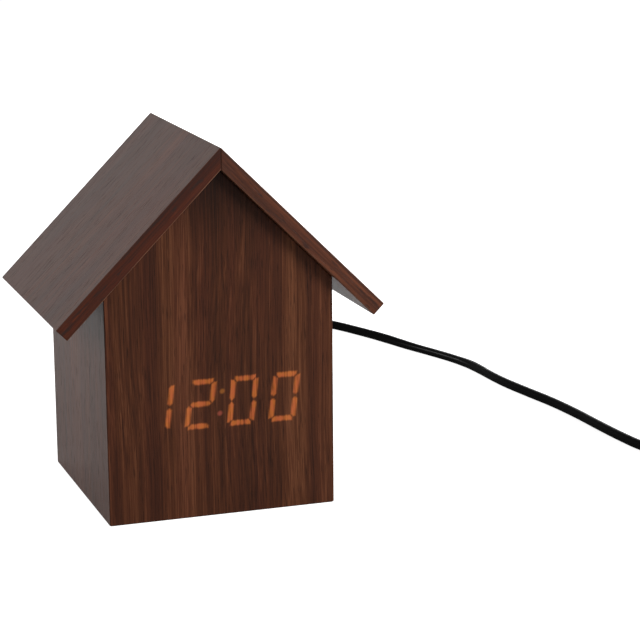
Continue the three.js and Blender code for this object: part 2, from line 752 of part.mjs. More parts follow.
const CELL_PLACES = Array.from(
  { length: CELL_COUNT },
  (_, i) => BAY_BOTTOM + GAP + (i + 0.5) * CELL_PITCH,
);

function controlHousing() {
  const body = box(
    -HOUSING_HALF_WIDTH,
    HOUSING_HALF_WIDTH,
    -BAY_DEPTH - BAY_FLOOR,
    FLANGE / 2,
    HOUSING_BOTTOM,
    HOUSING_TOP,
  );
  const flange = box(
    -HOUSING_HALF_WIDTH - FLANGE_LIP,
    HOUSING_HALF_WIDTH + FLANGE_LIP,
    0,
    FLANGE,
    HOUSING_BOTTOM - FLANGE_LIP,
    HOUSING_TOP + FLANGE_HEAD,
  );
  const controlRoom = box(
    -CONTROL_HALF_WIDTH,
    CONTROL_HALF_WIDTH,
    -BAY_DEPTH - BAY_FLOOR - OVERRUN,
    0,
    CONTROL_FLOOR,
    CONTROL_CEILING,
  );
  const bay = box(-BAY_HALF_WIDTH, BAY_HALF_WIDTH, -BAY_DEPTH, FLANGE + OVERRUN, BAY_BOTTOM, BAY_TOP);
  const doorRecess = box(
    -DOOR_HALF_WIDTH - GAP,
    DOOR_HALF_WIDTH + GAP,
    0,
    FLANGE + OVERRUN,
    DOOR_BOTTOM - GAP,
    DOOR_TOP + GAP,
  );
  const tabPockets = [-1, 1].map((side) =>
    box(
      side * DOOR_TAB_REACH - DOOR_TAB_WIDTH / 2 - GAP,
      side * DOOR_TAB_REACH + DOOR_TAB_WIDTH / 2 + GAP,
      -DOOR_TAB_SWING,
      0,
      DOOR_BOTTOM - DOOR_TAB_DROP - GAP,
      BAY_BOTTOM + OVERRUN,
    ),
  );
  const posts = POST_PLACES.map(([x, z]) =>
    cylinder(POST_RADIUS, -CONTROL_BOARD_DEPTH, FLANGE / 2, POST_SIDES).translate(x, 0, z),
  );
  const shell = cut(join(body, flange), controlRoom, bay, doorRecess, ...tabPockets);
  return cut(join(shell, ...posts), ...controlOpenings(), ...tailSlots(), ...flangeHoles());
}

function controlOpenings() {
  const through = [-OVERRUN, FLANGE + OVERRUN];
  const buttonHoles = BUTTON_PLACES.map((x) =>
    cylinder(BUTTON.radius + GAP, ...through, BUTTON_SIDES).translate(x, 0, CONTROL_Z),
  );
  const knobReach = (KNOB.width + KNOB.travel) / 2 + GAP;
  const knobSlot = box(
    SWITCH_X - knobReach,
    SWITCH_X + knobReach,
    ...through,
    CONTROL_Z - KNOB.height / 2 - GAP,
    CONTROL_Z + KNOB.height / 2 + GAP,
  );
  const socketHole = cylinder(SOCKET.nose + GAP, ...through).translate(SOCKET_X, 0, CONTROL_Z);
  return [...buttonHoles, knobSlot, socketHole];
}

function tailSlots() {
  return CONTACTS.filter((contact) => contact.tail).map(({ side, cells }) => {
    const z = CELL_PLACES[cells[0]];
    return box(
      side * TAIL_X - CONTACT / 2 - GAP,
      side * TAIL_X + CONTACT / 2 + GAP,
      -BAY_DEPTH - BAY_FLOOR - OVERRUN,
      -BAY_DEPTH + OVERRUN,
      z - CONTACT_TAIL / 2 - GAP,
      z + CONTACT_TAIL / 2 + GAP,
    );
  });
}

function flangeHoles() {
  return HOUSING_SCREW_PLACES.map(([x, z]) => screwHole(HOUSING_SCREW, x, z, -OVERRUN, FLANGE + OVERRUN));
}

// The door, with two tabs that hook behind the flange and a springy latch tongue at the top.
function batteryDoor() {
  const outside = GAP + DOOR_THICKNESS;
  const plate = box(-DOOR_HALF_WIDTH, DOOR_HALF_WIDTH, GAP, outside, DOOR_BOTTOM, DOOR_TOP);
  const tabs = [-1, 1].flatMap((side) => {
    const x = [
      side * DOOR_TAB_REACH - DOOR_TAB_WIDTH / 2,
      side * DOOR_TAB_REACH + DOOR_TAB_WIDTH / 2,
    ];
    const back = -GAP - DOOR_TAB_THICKNESS;
    return [
      box(...x, back, outside - DOOR_THICKNESS / 2, DOOR_BOTTOM, DOOR_BOTTOM + DOOR_TAB_RISE),
      box(...x, back, -GAP, DOOR_BOTTOM - DOOR_TAB_DROP, DOOR_BOTTOM + DOOR_TAB_RISE),
    ];
  });
  const slots = [-1, 1].map((side) =>
    box(
      (side * LATCH_WIDTH) / 2 - LATCH_SLOT / 2,
      (side * LATCH_WIDTH) / 2 + LATCH_SLOT / 2,
      -OVERRUN,
      outside + OVERRUN,
      DOOR_TOP - LATCH_LENGTH,
      DOOR_TOP + OVERRUN,
    ),
  );
  const ribs = Array.from({ length: GRIP_RIB_COUNT }, (_, i) => {
    const z = DOOR_TOP - (i + 1) * GRIP_RIB_PITCH;
    const half = LATCH_WIDTH / 2 - 2 * LATCH_SLOT;
    return box(-half, half, outside - GRIP_RIB, outside + GRIP_RIB, z - GRIP_RIB, z + GRIP_RIB);
  });
  return cut(join(plate, ...tabs, ...ribs), ...slots);
}

function buttonCap() {
  const { radius, proud, round, rim, rimHeight, stem } = BUTTON;
  const top = FLANGE + proud;
  const stemEnd = SWITCH_FACE - SWITCH_WELL + SWITCH_TRAVEL_ROOM;
  return turned(
    [
      [0, stemEnd],
      [stem, stemEnd],
      [stem, -GAP - rimHeight],
      [rim, -GAP - rimHeight],
      [rim, -GAP],
      [radius, -GAP],
      [radius, top - round],
      [radius - round, top],
      [0, top],
    ],
    BUTTON_SIDES,
  );
}

function buttonSwitch() {
  const half = SWITCH_SIZE / 2;
  const well = cylinder(BUTTON.stem + GAP, SWITCH_FACE - SWITCH_WELL, SWITCH_FACE + OVERRUN, BUTTON_SIDES);
  return cut(box(-half, half, -CONTROL_BOARD_DEPTH, SWITCH_FACE, -half, half), well);
}

function alarmSwitchBody() {
  const { width, height, well } = ALARM_SWITCH;
  const reach = (KNOB.width + KNOB.travel) / 2 + GAP;
  const slot = box(
    -reach,
    reach,
    ALARM_FACE - well,
    ALARM_FACE + OVERRUN,
    -KNOB.height / 2 - GAP,
    KNOB.height / 2 + GAP,
  );
  return cut(
    box(-width / 2, width / 2, -CONTROL_BOARD_DEPTH, ALARM_FACE, -height / 2, height / 2),
    slot,
  );
}

function alarmKnob() {
  const left = -(KNOB.width + KNOB.travel) / 2;
  return box(
    left,
    left + KNOB.width,
    ALARM_FACE - ALARM_SWITCH.well + GAP,
    FLANGE + KNOB.proud,
    -KNOB.height / 2,
    KNOB.height / 2,
  );
}

function socketBody() {
  const half = SOCKET.size / 2;
  const floor = FLANGE - SOCKET_BORE_DEPTH;
  return cut(
    join(
      box(-half, half, -CONTROL_BOARD_DEPTH, -GAP, -half, half),
      cylinder(SOCKET.nose, -GAP - OVERRUN, FLANGE),
    ),
    cylinder(SOCKET_BORE, floor, FLANGE + OVERRUN),
    cylinder(SOCKET.pin + GAP, floor - SOCKET.pinSeat, floor + OVERRUN),
  );
}

function socketPin() {
  const seat = FLANGE - SOCKET_BORE_DEPTH - SOCKET.pinSeat + GAP;
  return cylinder(SOCKET.pin, seat, FLANGE - SOCKET.pinProud, SCREW_SIDES);
}

function controlBoard() {
  return box(
    -CONTROL_HALF_WIDTH + GAP,
    CONTROL_HALF_WIDTH - GAP,
    CONTROL_BOARD_BACK,
    -CONTROL_BOARD_DEPTH,
    CONTROL_FLOOR + GAP,
    CONTROL_CEILING - GAP,
  );
}

// Batteries lie side by side, each turned end for end from the one below it.
function cell() {
  const half = CELL_LENGTH / 2;
  const shoulder = half - CELL_NUB;
  return turned(
    [
      [0, -half],
      [CELL_RADIUS, -half],
      [CELL_RADIUS, shoulder],
      [CELL_NUB_RADIUS, shoulder],
      [CELL_NUB_RADIUS, half],
      [0, half],
    ],
    CELL_SIDES,
  ).applyMatrix4(Y_TO_X);
}

// Each contact names its side of the bay and the cells that it joins, spring end last.
const CONTACTS = [
  { name: "negative_contact", side: -1, cells: [0], spring: 0, tail: true },
  { name: "link_contact_lower", side: 1, cells: [0, 1], spring: 1 },
  { name: "link_contact_upper", side: -1, cells: [1, 2], spring: 2 },
  { name: "positive_contact", side: 1, cells: [2], tail: true },
];

function contact({ side, cells, spring, tail }) {
  const inner = BAY_HALF_WIDTH - GAP - CONTACT;
  const x = side > 0 ? [inner, inner + CONTACT] : [-inner - CONTACT, -inner];
  const half = CONTACT_SIZE / 2;
  const low = CELL_PLACES[cells[0]] - half;
  const high = CELL_PLACES[cells[cells.length - 1]] + half;
  const plate = box(...x, CELL_Y - half, CELL_Y + half, low, high);
  const parts = [];
  if (spring !== undefined) {
    const cone = new THREE.CylinderGeometry(SPRING_TIP, SPRING_BASE, SPRING_LENGTH, SCREW_SIDES);
    const middle = inner + CONTACT / 2 - SPRING_LENGTH / 2;
    parts.push(cone.rotateZ((side * Math.PI) / 2).translate(side * middle, CELL_Y, CELL_PLACES[spring]));
  }
  if (tail) {
    const z = CELL_PLACES[cells[0]];
    parts.push(box(...x, TAIL_END, CELL_Y, z - CONTACT_TAIL / 2, z + CONTACT_TAIL / 2));
  }
  return join(plate, ...parts);
}

// A section swept along a smooth curve that starts level. A section's points give their place
// upwards first, then sideways, and the sweep's own frame at the start is turned to match.
function tube(points, section, steps) {
  const path = new THREE.CatmullRomCurve3(points.map((point) => new THREE.Vector3(...point)));
  const { normals, binormals } = path.computeFrenetFrames(steps, false);
  const [a, b] = [normals[0].z, binormals[0].z];
  const turnedSection = section.map(([up, side]) => new THREE.Vector2(up * a - side * b, up * b + side * a));
  const shape = new THREE.Shape(turnedSection);
  return new THREE.ExtrudeGeometry(shape, { steps, bevelEnabled: false, extrudePath: path });
}

// A wire from a contact's tail, behind the bay, down to the control board.
function batteryWire({ side, cells }) {
  const x = side * TAIL_X;
  const start = TAIL_END - GAP;
  const z = CELL_PLACES[cells[0]];
  const end = CONTROL_BOARD_BACK - GAP;
  const back = start - WIRE_LOOP;
  const landing = side * WIRE_REACH;
  const route = [
    [x, start, z],
    [x, start - WIRE_LOOP / 2, z],
    [x, back, z - WIRE_LOOP],
    [(x + landing) / 2, back, (z + CONTROL_Z) / 2],
    [landing, end - WIRE_LOOP, CONTROL_Z + WIRE_LOOP / 2],
    [landing, end - WIRE_LOOP / 2, CONTROL_Z],
    [landing, end, CONTROL_Z],
  ];
  return tube(route, circle(WIRE, WIRE_SIDES), WIRE_STEPS);
}

function makeControlUnit() {
  const screws = HOUSING_SCREW_PLACES.map(([x, z], i) =>
    piece("housing_screw_" + (i + 1), screw(HOUSING_SCREW), DARK_STEEL, x, FLANGE, z),
  );
  const buttons = BUTTON_NAMES.flatMap((name, i) => [
    piece(name + "_button", buttonCap(), BLACK_PLASTIC, BUTTON_PLACES[i], 0, CONTROL_Z),
    piece(name + "_switch", buttonSwitch(), SWITCH_PLASTIC, BUTTON_PLACES[i], 0, CONTROL_Z),
  ]);
  const cells = CELL_PLACES.map((z, i) => {
    const side = i % 2 ? -1 : 1;
    const shift = (side * SPRING_LENGTH) / 2;
    const mesh = piece("battery_" + (i + 1), cell(), CELL_JACKET, shift, CELL_Y, z);
    if (side < 0) mesh.rotation.z = Math.PI;
    return mesh;
  });
  const [negative, , , positive] = CONTACTS;
  return groupAt(
    0,
    BACK,
    0,
    piece("control_housing", controlHousing(), BLACK_PLASTIC),
    ...screws,
    piece("battery_door", batteryDoor(), BLACK_PLASTIC),
    piece("control_board", controlBoard(), CIRCUIT_GREEN),
    ...buttons,
    piece("alarm_switch_body", alarmSwitchBody(), STEEL, SWITCH_X, 0, CONTROL_Z),
    piece("alarm_switch_knob", alarmKnob(), BLACK_PLASTIC, SWITCH_X, 0, CONTROL_Z),
    piece("dc_socket", socketBody(), SWITCH_PLASTIC, SOCKET_X, 0, CONTROL_Z),
    piece("dc_socket_pin", socketPin(), NICKEL, SOCKET_X, 0, CONTROL_Z),
    piece("control_connector", connector(), CREAM_NYLON, 0, CONTROL_BOARD_BACK - CONNECTOR.depth, CONTROL_Z),
    ...cells,
    ...CONTACTS.map((made) => piece(made.name, contact(made), NICKEL)),
    piece("positive_wire", batteryWire(positive), RED_WIRE),
    piece("negative_wire", batteryWire(negative), BLACK_FLEX),
  );
}

// The ribbon between the two boards hangs in a shallow bow inside the case.
function ribbonCable() {
  const startY = PANEL_BACK + CIRCUIT_BOARD + CONNECTOR.depth + GAP;
  const startZ = DISPLAY_CENTRE - DISPLAY_CONNECTOR_DROP;
  const endY = BACK + CONTROL_BOARD_BACK - CONNECTOR.depth - GAP;
  const route = [
    [0, startY, startZ],
    [0, startY + RIBBON_STRAIGHT, startZ],
    [0, (startY + endY) / 2, (startZ + CONTROL_Z) / 2 - RIBBON_SAG],
    [0, endY - RIBBON_STRAIGHT, CONTROL_Z],
    [0, endY, CONTROL_Z],
  ];
  const thick = RIBBON_THICKNESS / 2;
  return tube(route, rectangle(-thick, thick, -RIBBON_WIDTH / 2, RIBBON_WIDTH / 2), RIBBON_STEPS);
}

// Plug at the clock's end of the lead. Its group is the control unit's, at the socket.
function barrel() {
  const { radius, bore, insertion, root } = BARREL;
  const y0 = FLANGE - insertion;
  const y1 = FLANGE + GAP + root;
  return turned([
    [bore, y0],
    [radius, y0],
    [radius, y1],
    [bore, y1],
    [bore, y0],
  ]);
}

function plugGrip() {
  const { radius, length, round, neck } = PLUG_GRIP;
  const y0 = FLANGE + GAP;
  const y1 = y0 + length;
  const body = turned([
    [0, y0],
    [radius - round, y0],
    [radius, y0 + round],
    [radius, y1 - 2 * round],
    [neck, y1],
    [0, y1],
  ]);
  return cut(body, cylinder(BARREL.radius + GAP, y0 - OVERRUN, y0 + BARREL.root + GAP));
}

function strainRelief() {
  const y0 = FLANGE + GAP + PLUG_GRIP.length;
  const step = RELIEF.length / RELIEF.ribs;
  const profile = [[0, y0]];
  for (let i = 0; i < RELIEF.ribs; i += 1) {
    const radius = RELIEF.start + ((RELIEF.end - RELIEF.start) * i) / (RELIEF.ribs - 1);
    const y = y0 + i * step;
    profile.push([radius, y], [radius, y + step / 2]);
    if (i < RELIEF.ribs - 1) {
      profile.push([radius - RELIEF.groove, y + step / 2], [radius - RELIEF.groove, y + step]);
    } else {
      profile.push([radius, y + step], [0, y + step]);
    }
  }
  return turned(profile, SCREW_SIDES);
}

// Cord section: each point's place upwards, across the cord's width, then sideways.
const HALF_CORD = CORD_WIDTH / 2;
const HALF_THICK = CORD_THICKNESS / 2;
const SHOULDER = HALF_CORD * CORD_SHOULDER_SHARE;
const CROWN = HALF_THICK * CORD_CROWN_SHARE;
const LEAD_SECTION = [
  [HALF_CORD, CROWN],
  [SHOULDER, HALF_THICK],
  [-SHOULDER, HALF_THICK],
  [-HALF_CORD, CROWN],
  [-HALF_CORD, -CROWN],
  [-SHOULDER, -HALF_THICK],
  [SHOULDER, -HALF_THICK],
  [HALF_CORD, -CROWN],
];

// Coil section: a point's place outwards along the coil's radius, then up.
const COIL_SECTION = [
  [HALF_THICK, -SHOULDER],
  [HALF_THICK, SHOULDER],
  [0, HALF_CORD],
  [-HALF_THICK, SHOULDER],
  [-HALF_THICK, -SHOULDER],
  [0, -HALF_CORD],
];
const TURNS = TURNS_IN + TURNS_OUT;
const TURN_PITCH = CORD_THICKNESS + TURN_SPACING;
const LAYER_PITCH = CORD_WIDTH + LAYER_SPACING;
const COIL_EDGE = COIL_RADIUS + (TURNS_IN * TURN_PITCH) / 2; // radius where the cord enters
const LOWER_LAYER = TIE_THICKNESS + GAP + HALF_CORD;
const UPPER_LAYER = LOWER_LAYER + LAYER_PITCH;
const [LEAD_END_X, LEAD_END_Y] = CORD_ROUTE[CORD_ROUTE.length - 1];
const COIL_X = LEAD_END_X + COIL_EDGE;
const COIL_Y = LEAD_END_Y - GAP - CORD_WIDTH;
const USB_Z = USB_GRIP.thickness / 2;

function coilRadius(turn) {
  return COIL_EDGE - TURN_PITCH * Math.min(turn, 2 * TURNS_IN - turn);
}

function coilHeight(turn) {
  const share = (turn - TURNS_IN) / LAYER_CHANGE_TURNS + 0.5;
  return UPPER_LAYER - LAYER_PITCH * THREE.MathUtils.smoothstep(share, 0, 1);
}

// The point at a place across and up the section, where the given number of turns is wound.
function coilPoint(turn, across, up) {
  const angle = Math.PI + 2 * Math.PI * turn;
  const radius = coilRadius(turn) + across;
  return [
    COIL_X + radius * Math.cos(angle),
    COIL_Y + radius * Math.sin(angle),
    coilHeight(turn) + up,
  ];
}

function coilRings() {
  const steps = TURNS * STEPS_PER_TURN;
  const entry = COIL_SECTION.map(([across, up]) => {
    const [x, y, z] = coilPoint(0, across, up);
    return [x, y + CORD_WIDTH, z];
  });
  const turns = Array.from({ length: steps + 1 }, (_, i) =>
    COIL_SECTION.map(([across, up]) => coilPoint(i / STEPS_PER_TURN, across, up)),
  );
  const tail = Array.from({ length: TAIL_STEPS + 1 }, (_, i) => {
    const along = i < TAIL_STEPS ? ((i + 1) * TAIL_RISE_LENGTH) / TAIL_STEPS : TAIL_RISE_LENGTH + CORD_WIDTH;
    const rise = (USB_Z - LOWER_LAYER) * THREE.MathUtils.smoothstep(along, 0, TAIL_RISE_LENGTH);
    return COIL_SECTION.map(([across, up]) => {
      const [x, y, z] = coilPoint(TURNS, across, up);
      return [x, y + along, z + rise];
    });
  });
  return [entry, ...turns, ...tail];
}

function tubeOfRings(rings) {
  const sides = rings[0].length;
  const index = [];
  for (let ring = 0; ring < rings.length - 1; ring += 1) {
    for (let side = 0; side < sides; side += 1) {
      const a = ring * sides + side;
      const b = ring * sides + ((side + 1) % sides);
      index.push(a, b + sides, b, a, a + sides, b + sides);
    }
  }
  const last = (rings.length - 1) * sides;
  for (let side = 1; side < sides - 1; side += 1) {
    index.push(0, side, side + 1, last, last + side + 1, last + side);
  }
  const geometry = new THREE.BufferGeometry();
  geometry.setAttribute("position", new THREE.Float32BufferAttribute(rings.flat(2), 3));
  geometry.setIndex(index);
  geometry.computeVertexNormals();
  return geometry;
}

// The least distance between points on the surface of one turn and of any later one.
function leastTurnGap() {
  const outline = COIL_SECTION.flatMap(([across, up], i) => {
    const next = COIL_SECTION[(i + 1) % COIL_SECTION.length];
    return SIDE_SAMPLE_SHARES.map((part) => [
      across + (next[0] - across) * part,
      up + (next[1] - up) * part,
    ]);
  });
  const steps = TURNS * STEPS_PER_TURN;
  let least = Infinity;
  for (let i = 0; i <= steps; i += 1) {
    for (let j = i + STEPS_PER_TURN; j <= steps; j += STEPS_PER_TURN) {
      for (const one of outline) {
        const a = new THREE.Vector3(...coilPoint(i / STEPS_PER_TURN, ...one));
        for (const other of outline) {
          const b = new THREE.Vector3(...coilPoint(j / STEPS_PER_TURN, ...other));
          least = Math.min(least, a.distanceTo(b));
        }
      }
    }
  }
  return least;
}

// A band round the bundle of turns, along the radius at one place on the coil.
function cordTie() {
  const turns = [TIE_TURN_SHARE, 2 * TURNS_IN + TIE_TURN_SHARE].map(coilRadius);
  const inmost = coilRadius(TURNS_IN + TIE_TURN_SHARE) - HALF_THICK - TIE_SLACK;
  const outmost = Math.max(...turns) + HALF_THICK + GAP;
  const under = TIE_THICKNESS;
  const over = UPPER_LAYER + HALF_CORD + GAP;
  const band = extrude(
    rectangle(inmost - TIE_THICKNESS, outmost + TIE_THICKNESS, 0, over + TIE_THICKNESS),
    TIE_WIDTH,
    [rectangle(inmost, outmost, under, over)],
  );
  return band
    .applyMatrix4(XZ_ALONG_Y)
    .translate(0, TIE_WIDTH / 2, 0)
    .rotateZ(Math.PI + 2 * Math.PI * TIE_TURN_SHARE);
}

function chamfered(halfA, halfB, corner) {
  return [
    [-halfA + corner, -halfB],
    [halfA - corner, -halfB],
    [halfA, -halfB + corner],
    [halfA, halfB - corner],
    [halfA - corner, halfB],
    [-halfA + corner, halfB],
    [-halfA, halfB - corner],
    [-halfA, -halfB + corner],
  ];
}

function usbShell() {
  const { width, thickness, length, wall: sheet, floor } = USB_SHELL;
  return cut(
    box(-width / 2, width / 2, 0, length, -thickness / 2, thickness / 2),
    box(
      -width / 2 + sheet,
      width / 2 - sheet,
      floor,
      length + OVERRUN,
      -thickness / 2 + sheet,
      thickness / 2 - sheet,
    ),
  );
}

function usbTongue() {
  const half = USB_SHELL.width / 2 - USB_SHELL.wall - GAP;
  const top = USB_SHELL.thickness / 2 - USB_SHELL.wall - GAP;
  return box(
    -half,
    half,
    USB_SHELL.floor,
    USB_SHELL.floor + USB_TONGUE.length,
    top - USB_TONGUE.thickness,
    top,
  );
}

function makeCord() {
  const plugY = COIL_Y + TAIL_RISE_LENGTH + CORD_WIDTH + GAP;
  const plugX = COIL_X + coilRadius(TURNS);
  const { width, thickness, length, corner } = USB_GRIP;
  const grip = extrudeY(chamfered(width / 2, thickness / 2, corner), 0, length);
  console.log("least gap between the turns of the coil: " + leastTurnGap().toFixed(2) + " mm");
  return groupAt(
    0,
    0,
    0,
    groupAt(
      SOCKET_X,
      BACK,
      CONTROL_Z,
      piece("dc_plug_barrel", barrel(), NICKEL),
      piece("dc_plug_grip", plugGrip(), BLACK_FLEX),
      piece("dc_plug_strain_relief", strainRelief(), BLACK_FLEX),
    ),
    piece("cord_lead", tube(CORD_ROUTE, LEAD_SECTION, CORD_STEPS), BLACK_FLEX),
    piece("cord_coil", tubeOfRings(coilRings()), BLACK_FLEX),
    piece("cord_tie", cordTie(), BLACK_PLASTIC, COIL_X, COIL_Y, 0),
    groupAt(
      plugX,
      plugY,
      USB_Z,
      piece("usb_plug_grip", grip, BLACK_FLEX),
      piece("usb_plug_shell", usbShell(), NICKEL, 0, length, 0),
      piece("usb_plug_tongue", usbTongue(), CREAM_NYLON, 0, length, 0),
    ),
  );
}

const clock = new THREE.Group();
clock.add(
  makeCase(),
  makeDisplay(),
  makeControlUnit(),
  piece("ribbon_cable", ribbonCable(), RIBBON_GREY),
  makeCord(),
);

export default clock;
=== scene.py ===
import math

import bpy
from mathutils import Matrix, Vector


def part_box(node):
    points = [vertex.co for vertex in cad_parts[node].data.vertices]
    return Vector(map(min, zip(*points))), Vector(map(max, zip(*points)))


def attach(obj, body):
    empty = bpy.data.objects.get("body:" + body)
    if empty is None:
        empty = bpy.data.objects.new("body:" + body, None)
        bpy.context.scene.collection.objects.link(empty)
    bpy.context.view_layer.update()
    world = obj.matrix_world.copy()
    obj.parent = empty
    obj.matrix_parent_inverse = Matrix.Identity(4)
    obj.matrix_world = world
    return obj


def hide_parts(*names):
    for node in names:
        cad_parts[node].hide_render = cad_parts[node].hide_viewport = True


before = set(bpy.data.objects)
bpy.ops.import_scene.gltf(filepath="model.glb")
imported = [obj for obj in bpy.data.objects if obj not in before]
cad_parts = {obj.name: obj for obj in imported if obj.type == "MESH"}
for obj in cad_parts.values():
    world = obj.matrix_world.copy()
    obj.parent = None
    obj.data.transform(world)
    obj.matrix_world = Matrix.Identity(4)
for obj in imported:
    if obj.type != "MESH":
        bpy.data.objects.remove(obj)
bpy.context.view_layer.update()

MM = 0.001


def middle(name):
    """The middle of a CAD node, in metres."""
    low, high = (Vector(corner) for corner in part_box(name))
    return (low + high) / 2


# Camera, at the photograph's viewing angle
CAMERA_PLACE = Vector((-0.2344, -0.8538, 0.2721))
CAMERA_LOOK = Vector((0.31308, 0.92229, -0.22665))
CAMERA_RIGHT = Vector((0.94629, -0.32330, -0.00850))
LENS = 128.36
SENSOR = 36.0

# The case, from the frame: its front, the ridge that it ends in under the roof, a board's
# thickness, and how far the underside of each roof board is from the middle of the base
(_, FRONT, _), (_, FRONT_INSIDE, RIDGE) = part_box("front_panel")
BOARD = FRONT_INSIDE - FRONT
ROOF_UNDERSIDE = RIDGE / math.sqrt(2)

# Digits that glow through the front veneer: their sizes, and how soft and ragged their edges are
DIGIT_HEIGHT = 19.1 * MM
DIGIT_WIDTH = 10.7 * MM
DIGIT_PITCH = 16.7 * MM
DIGIT_LEAN = 0.125
SEGMENT = 1.8 * MM
SEGMENT_GAP = 0.33 * MM
DISPLAY_CENTRE = 44.75 * MM
DIGIT_BLUR = 0.55 * MM
DIGIT_RAGGED = 0.7 * MM
CORNER_CUT = 0.8 * MM
END_CUT = 1.38 * MM
COLON_RADIUS = 1.0 * MM
COLON_SPACING = 8.6 * MM
COLON_SHIFT = -0.3 * MM
FACE_DEPTH = 0.4 * MM

# Signs printed on the rear moulding, under its controls
HOUSING_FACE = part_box("control_housing")[1][1]
SIGN_HEIGHT = 14.2 * MM
SIGN_SIZE = 1.15 * MM
UP_SIGN = middle("up_button").x
DOWN_SIGN = middle("down_button").x
# Centre, radius and half the line's width of each: set, alarm off, alarm on
ROUND_SIGNS = [
    (middle("set_button").x, 0.8 * MM, 0.16 * MM),
    (7.2 * MM, 0.6 * MM, 0.13 * MM),
    (10.8 * MM, 0.2 * MM, 0.5 * MM),
]

# Cord, a flat twin flex. Its route is that of the CAD's lead, begun a little deeper in the plug.
CORD_WIDTH = 4.4 * MM
CORD_THICKNESS = 2.2 * MM
ROUTE_STEPS = 5
CORD_ROUTE = [
    (0.0200, 0.0772, 0.0210),
    (0.0200, 0.0823, 0.0210),
    (0.0200, 0.0870, 0.0209),
    (0.0200, 0.0980, 0.0182),
    (0.0202, 0.1120, 0.0112),
    (0.0208, 0.1270, 0.0049),
    (0.0220, 0.1410, 0.0025),
    (0.0250, 0.1600, 0.0023),
    (0.0330, 0.1900, 0.0023),
    (0.0460, 0.2190, 0.0023),
    (0.0660, 0.2430, 0.0023),
    (0.0900, 0.2560, 0.0023),
    (0.1140, 0.2560, 0.0023),
    (0.1310, 0.2460, 0.0023),
    (0.1412, 0.2309, 0.0023),
    (0.1491, 0.2125, 0.0023),
    (0.1560, 0.1940, 0.0023),
    (0.1617, 0.1772, 0.0023),
    (0.1680, 0.1598, 0.0023),
    (0.1732, 0.1432, 0.0023),
    (0.1754, 0.1310, 0.0023),
    (0.1760, 0.1186, 0.0023),
    (0.1763, 0.1049, 0.0023),
    (0.1774, 0.0910, 0.0023),
    (0.1802, 0.0721, 0.0023),
    (0.1834, 0.0521, 0.0023),
    (0.1853, 0.0315, 0.0023),
    (0.1863, 0.0089, 0.0023),
    (0.1875, -0.0098, 0.0023),
    (0.1891, -0.0240, 0.0024),
    (0.1904, -0.0330, 0.0033),
    (0.1916, -0.0420, 0.0051),
    (0.1925, -0.0510, 0.0071),
    (0.1929, -0.0580, 0.0078),
    (0.1930, -0.0637, 0.0079),
    (0.1930, -0.0680, 0.0079),
]
# Shape of its groove, from the middle out: shares of a lobe's radius and of its distance out
GROOVE = [(0.78, 0.0), (0.83, 0.18), (0.93, 0.45), (1.02, 0.78)]
# Degrees round the rest of a lobe
LOBE_POINTS = (5, 25, 45, 65)

# Where the flex lies over on its side: past this x, between the places along y where that fades
TWIST_ANGLE = math.radians(58)
TWIST_FROM_X = 0.14
TWIST_FAR_FADE = (0.215, 0.166)
TWIST_NEAR_FADE = (0.106, 0.146)

# Coil of the rest of the cord: turns wound inwards, then outwards on the layer below, and a tail
COIL_CENTRE = (0.2178, -0.0727)
COIL_EDGE = 24.8 * MM
TURN_PITCH = 2.8 * MM
LAYER_PITCH = 4.9 * MM
UPPER_LAYER = 7.9 * MM
LOWER_LAYER = 3.0 * MM
TURNS_IN = 2
TURNS = 4.5
LAYER_CHANGE = 0.5
TURN_STEPS = 60
TAIL_RISE = 14 * MM
TAIL_LENGTH = 19.2 * MM
TAIL_STEPS = 8
USB_HEIGHT = 4 * MM

# Strap that ties the coil, and how many turns from the coil's start it sits
STRAP_TURN = 0.25
STRAP_WIDTH = 5 * MM
STRAP_THICKNESS = 0.6 * MM
STRAP_SLACK = 0.2 * MM
STRAP_STEPS = 72
# Its free end: the degrees round the turns where it starts and stops, and those that it rises in
FREE_END = (50, 195)
FREE_END_STEP = 5
FREE_END_RISE = 20
FREE_END_GAP = 0.05 * MM
# Outline of the strap's section: shares of its half width and of its half thickness
STRAP_SECTION = [
    (-1.0, -0.4),
    (-0.93, -1.0),
    (0.0, -1.0),
    (0.93, -1.0),
    (1.0, -0.4),
    (1.0, 0.4),
    (0.93, 1.0),
    (0.5, 1.0),
    (0.0, 1.0),
    (-0.5, 1.0),
    (-0.93, 1.0),
    (-1.0, 0.4),
]


def smoothstep(value, low, high):
    share = min(max((value - low) / (high - low), 0.0), 1.0)
    return share * share * (3 - 2 * share)


def catmull_rom(points, steps):
    """Points on the centripetal curve that the CAD sweeps its lead along."""
    spots = [Vector(p) for p in points]
    spots = [2 * spots[0] - spots[1], *spots, 2 * spots[-1] - spots[-2]]
    line = []
    for p0, p1, p2, p3 in zip(spots, spots[1:], spots[2:], spots[3:]):
        d0, d1, d2 = ((b - a).length ** 0.5 for a, b in ((p0, p1), (p1, p2), (p2, p3)))
        t1 = ((p1 - p0) / d0 - (p2 - p0) / (d0 + d1) + (p2 - p1) / d1) * d1
        t2 = ((p2 - p1) / d1 - (p3 - p1) / (d1 + d2) + (p3 - p2) / d2) * d1
        for i in range(steps):
            s = i / steps
            a = 2 * s**3 - 3 * s**2 + 1
            b = s**3 - 2 * s**2 + s
            c = 3 * s**2 - 2 * s**3
            d = s**3 - s**2
            line.append(a * p1 + b * t1 + c * p2 + d * t2)
    line.append(spots[-2])
    return line


def coil_radius(turn):
    return COIL_EDGE - TURN_PITCH * min(turn, 2 * TURNS_IN - turn)


def coil_point(radius, turn, height):
    angle = math.pi + 2 * math.pi * turn
    across, along = radius * math.cos(angle), radius * math.sin(angle)
    return Vector((COIL_CENTRE[0] + across, COIL_CENTRE[1] + along, height))


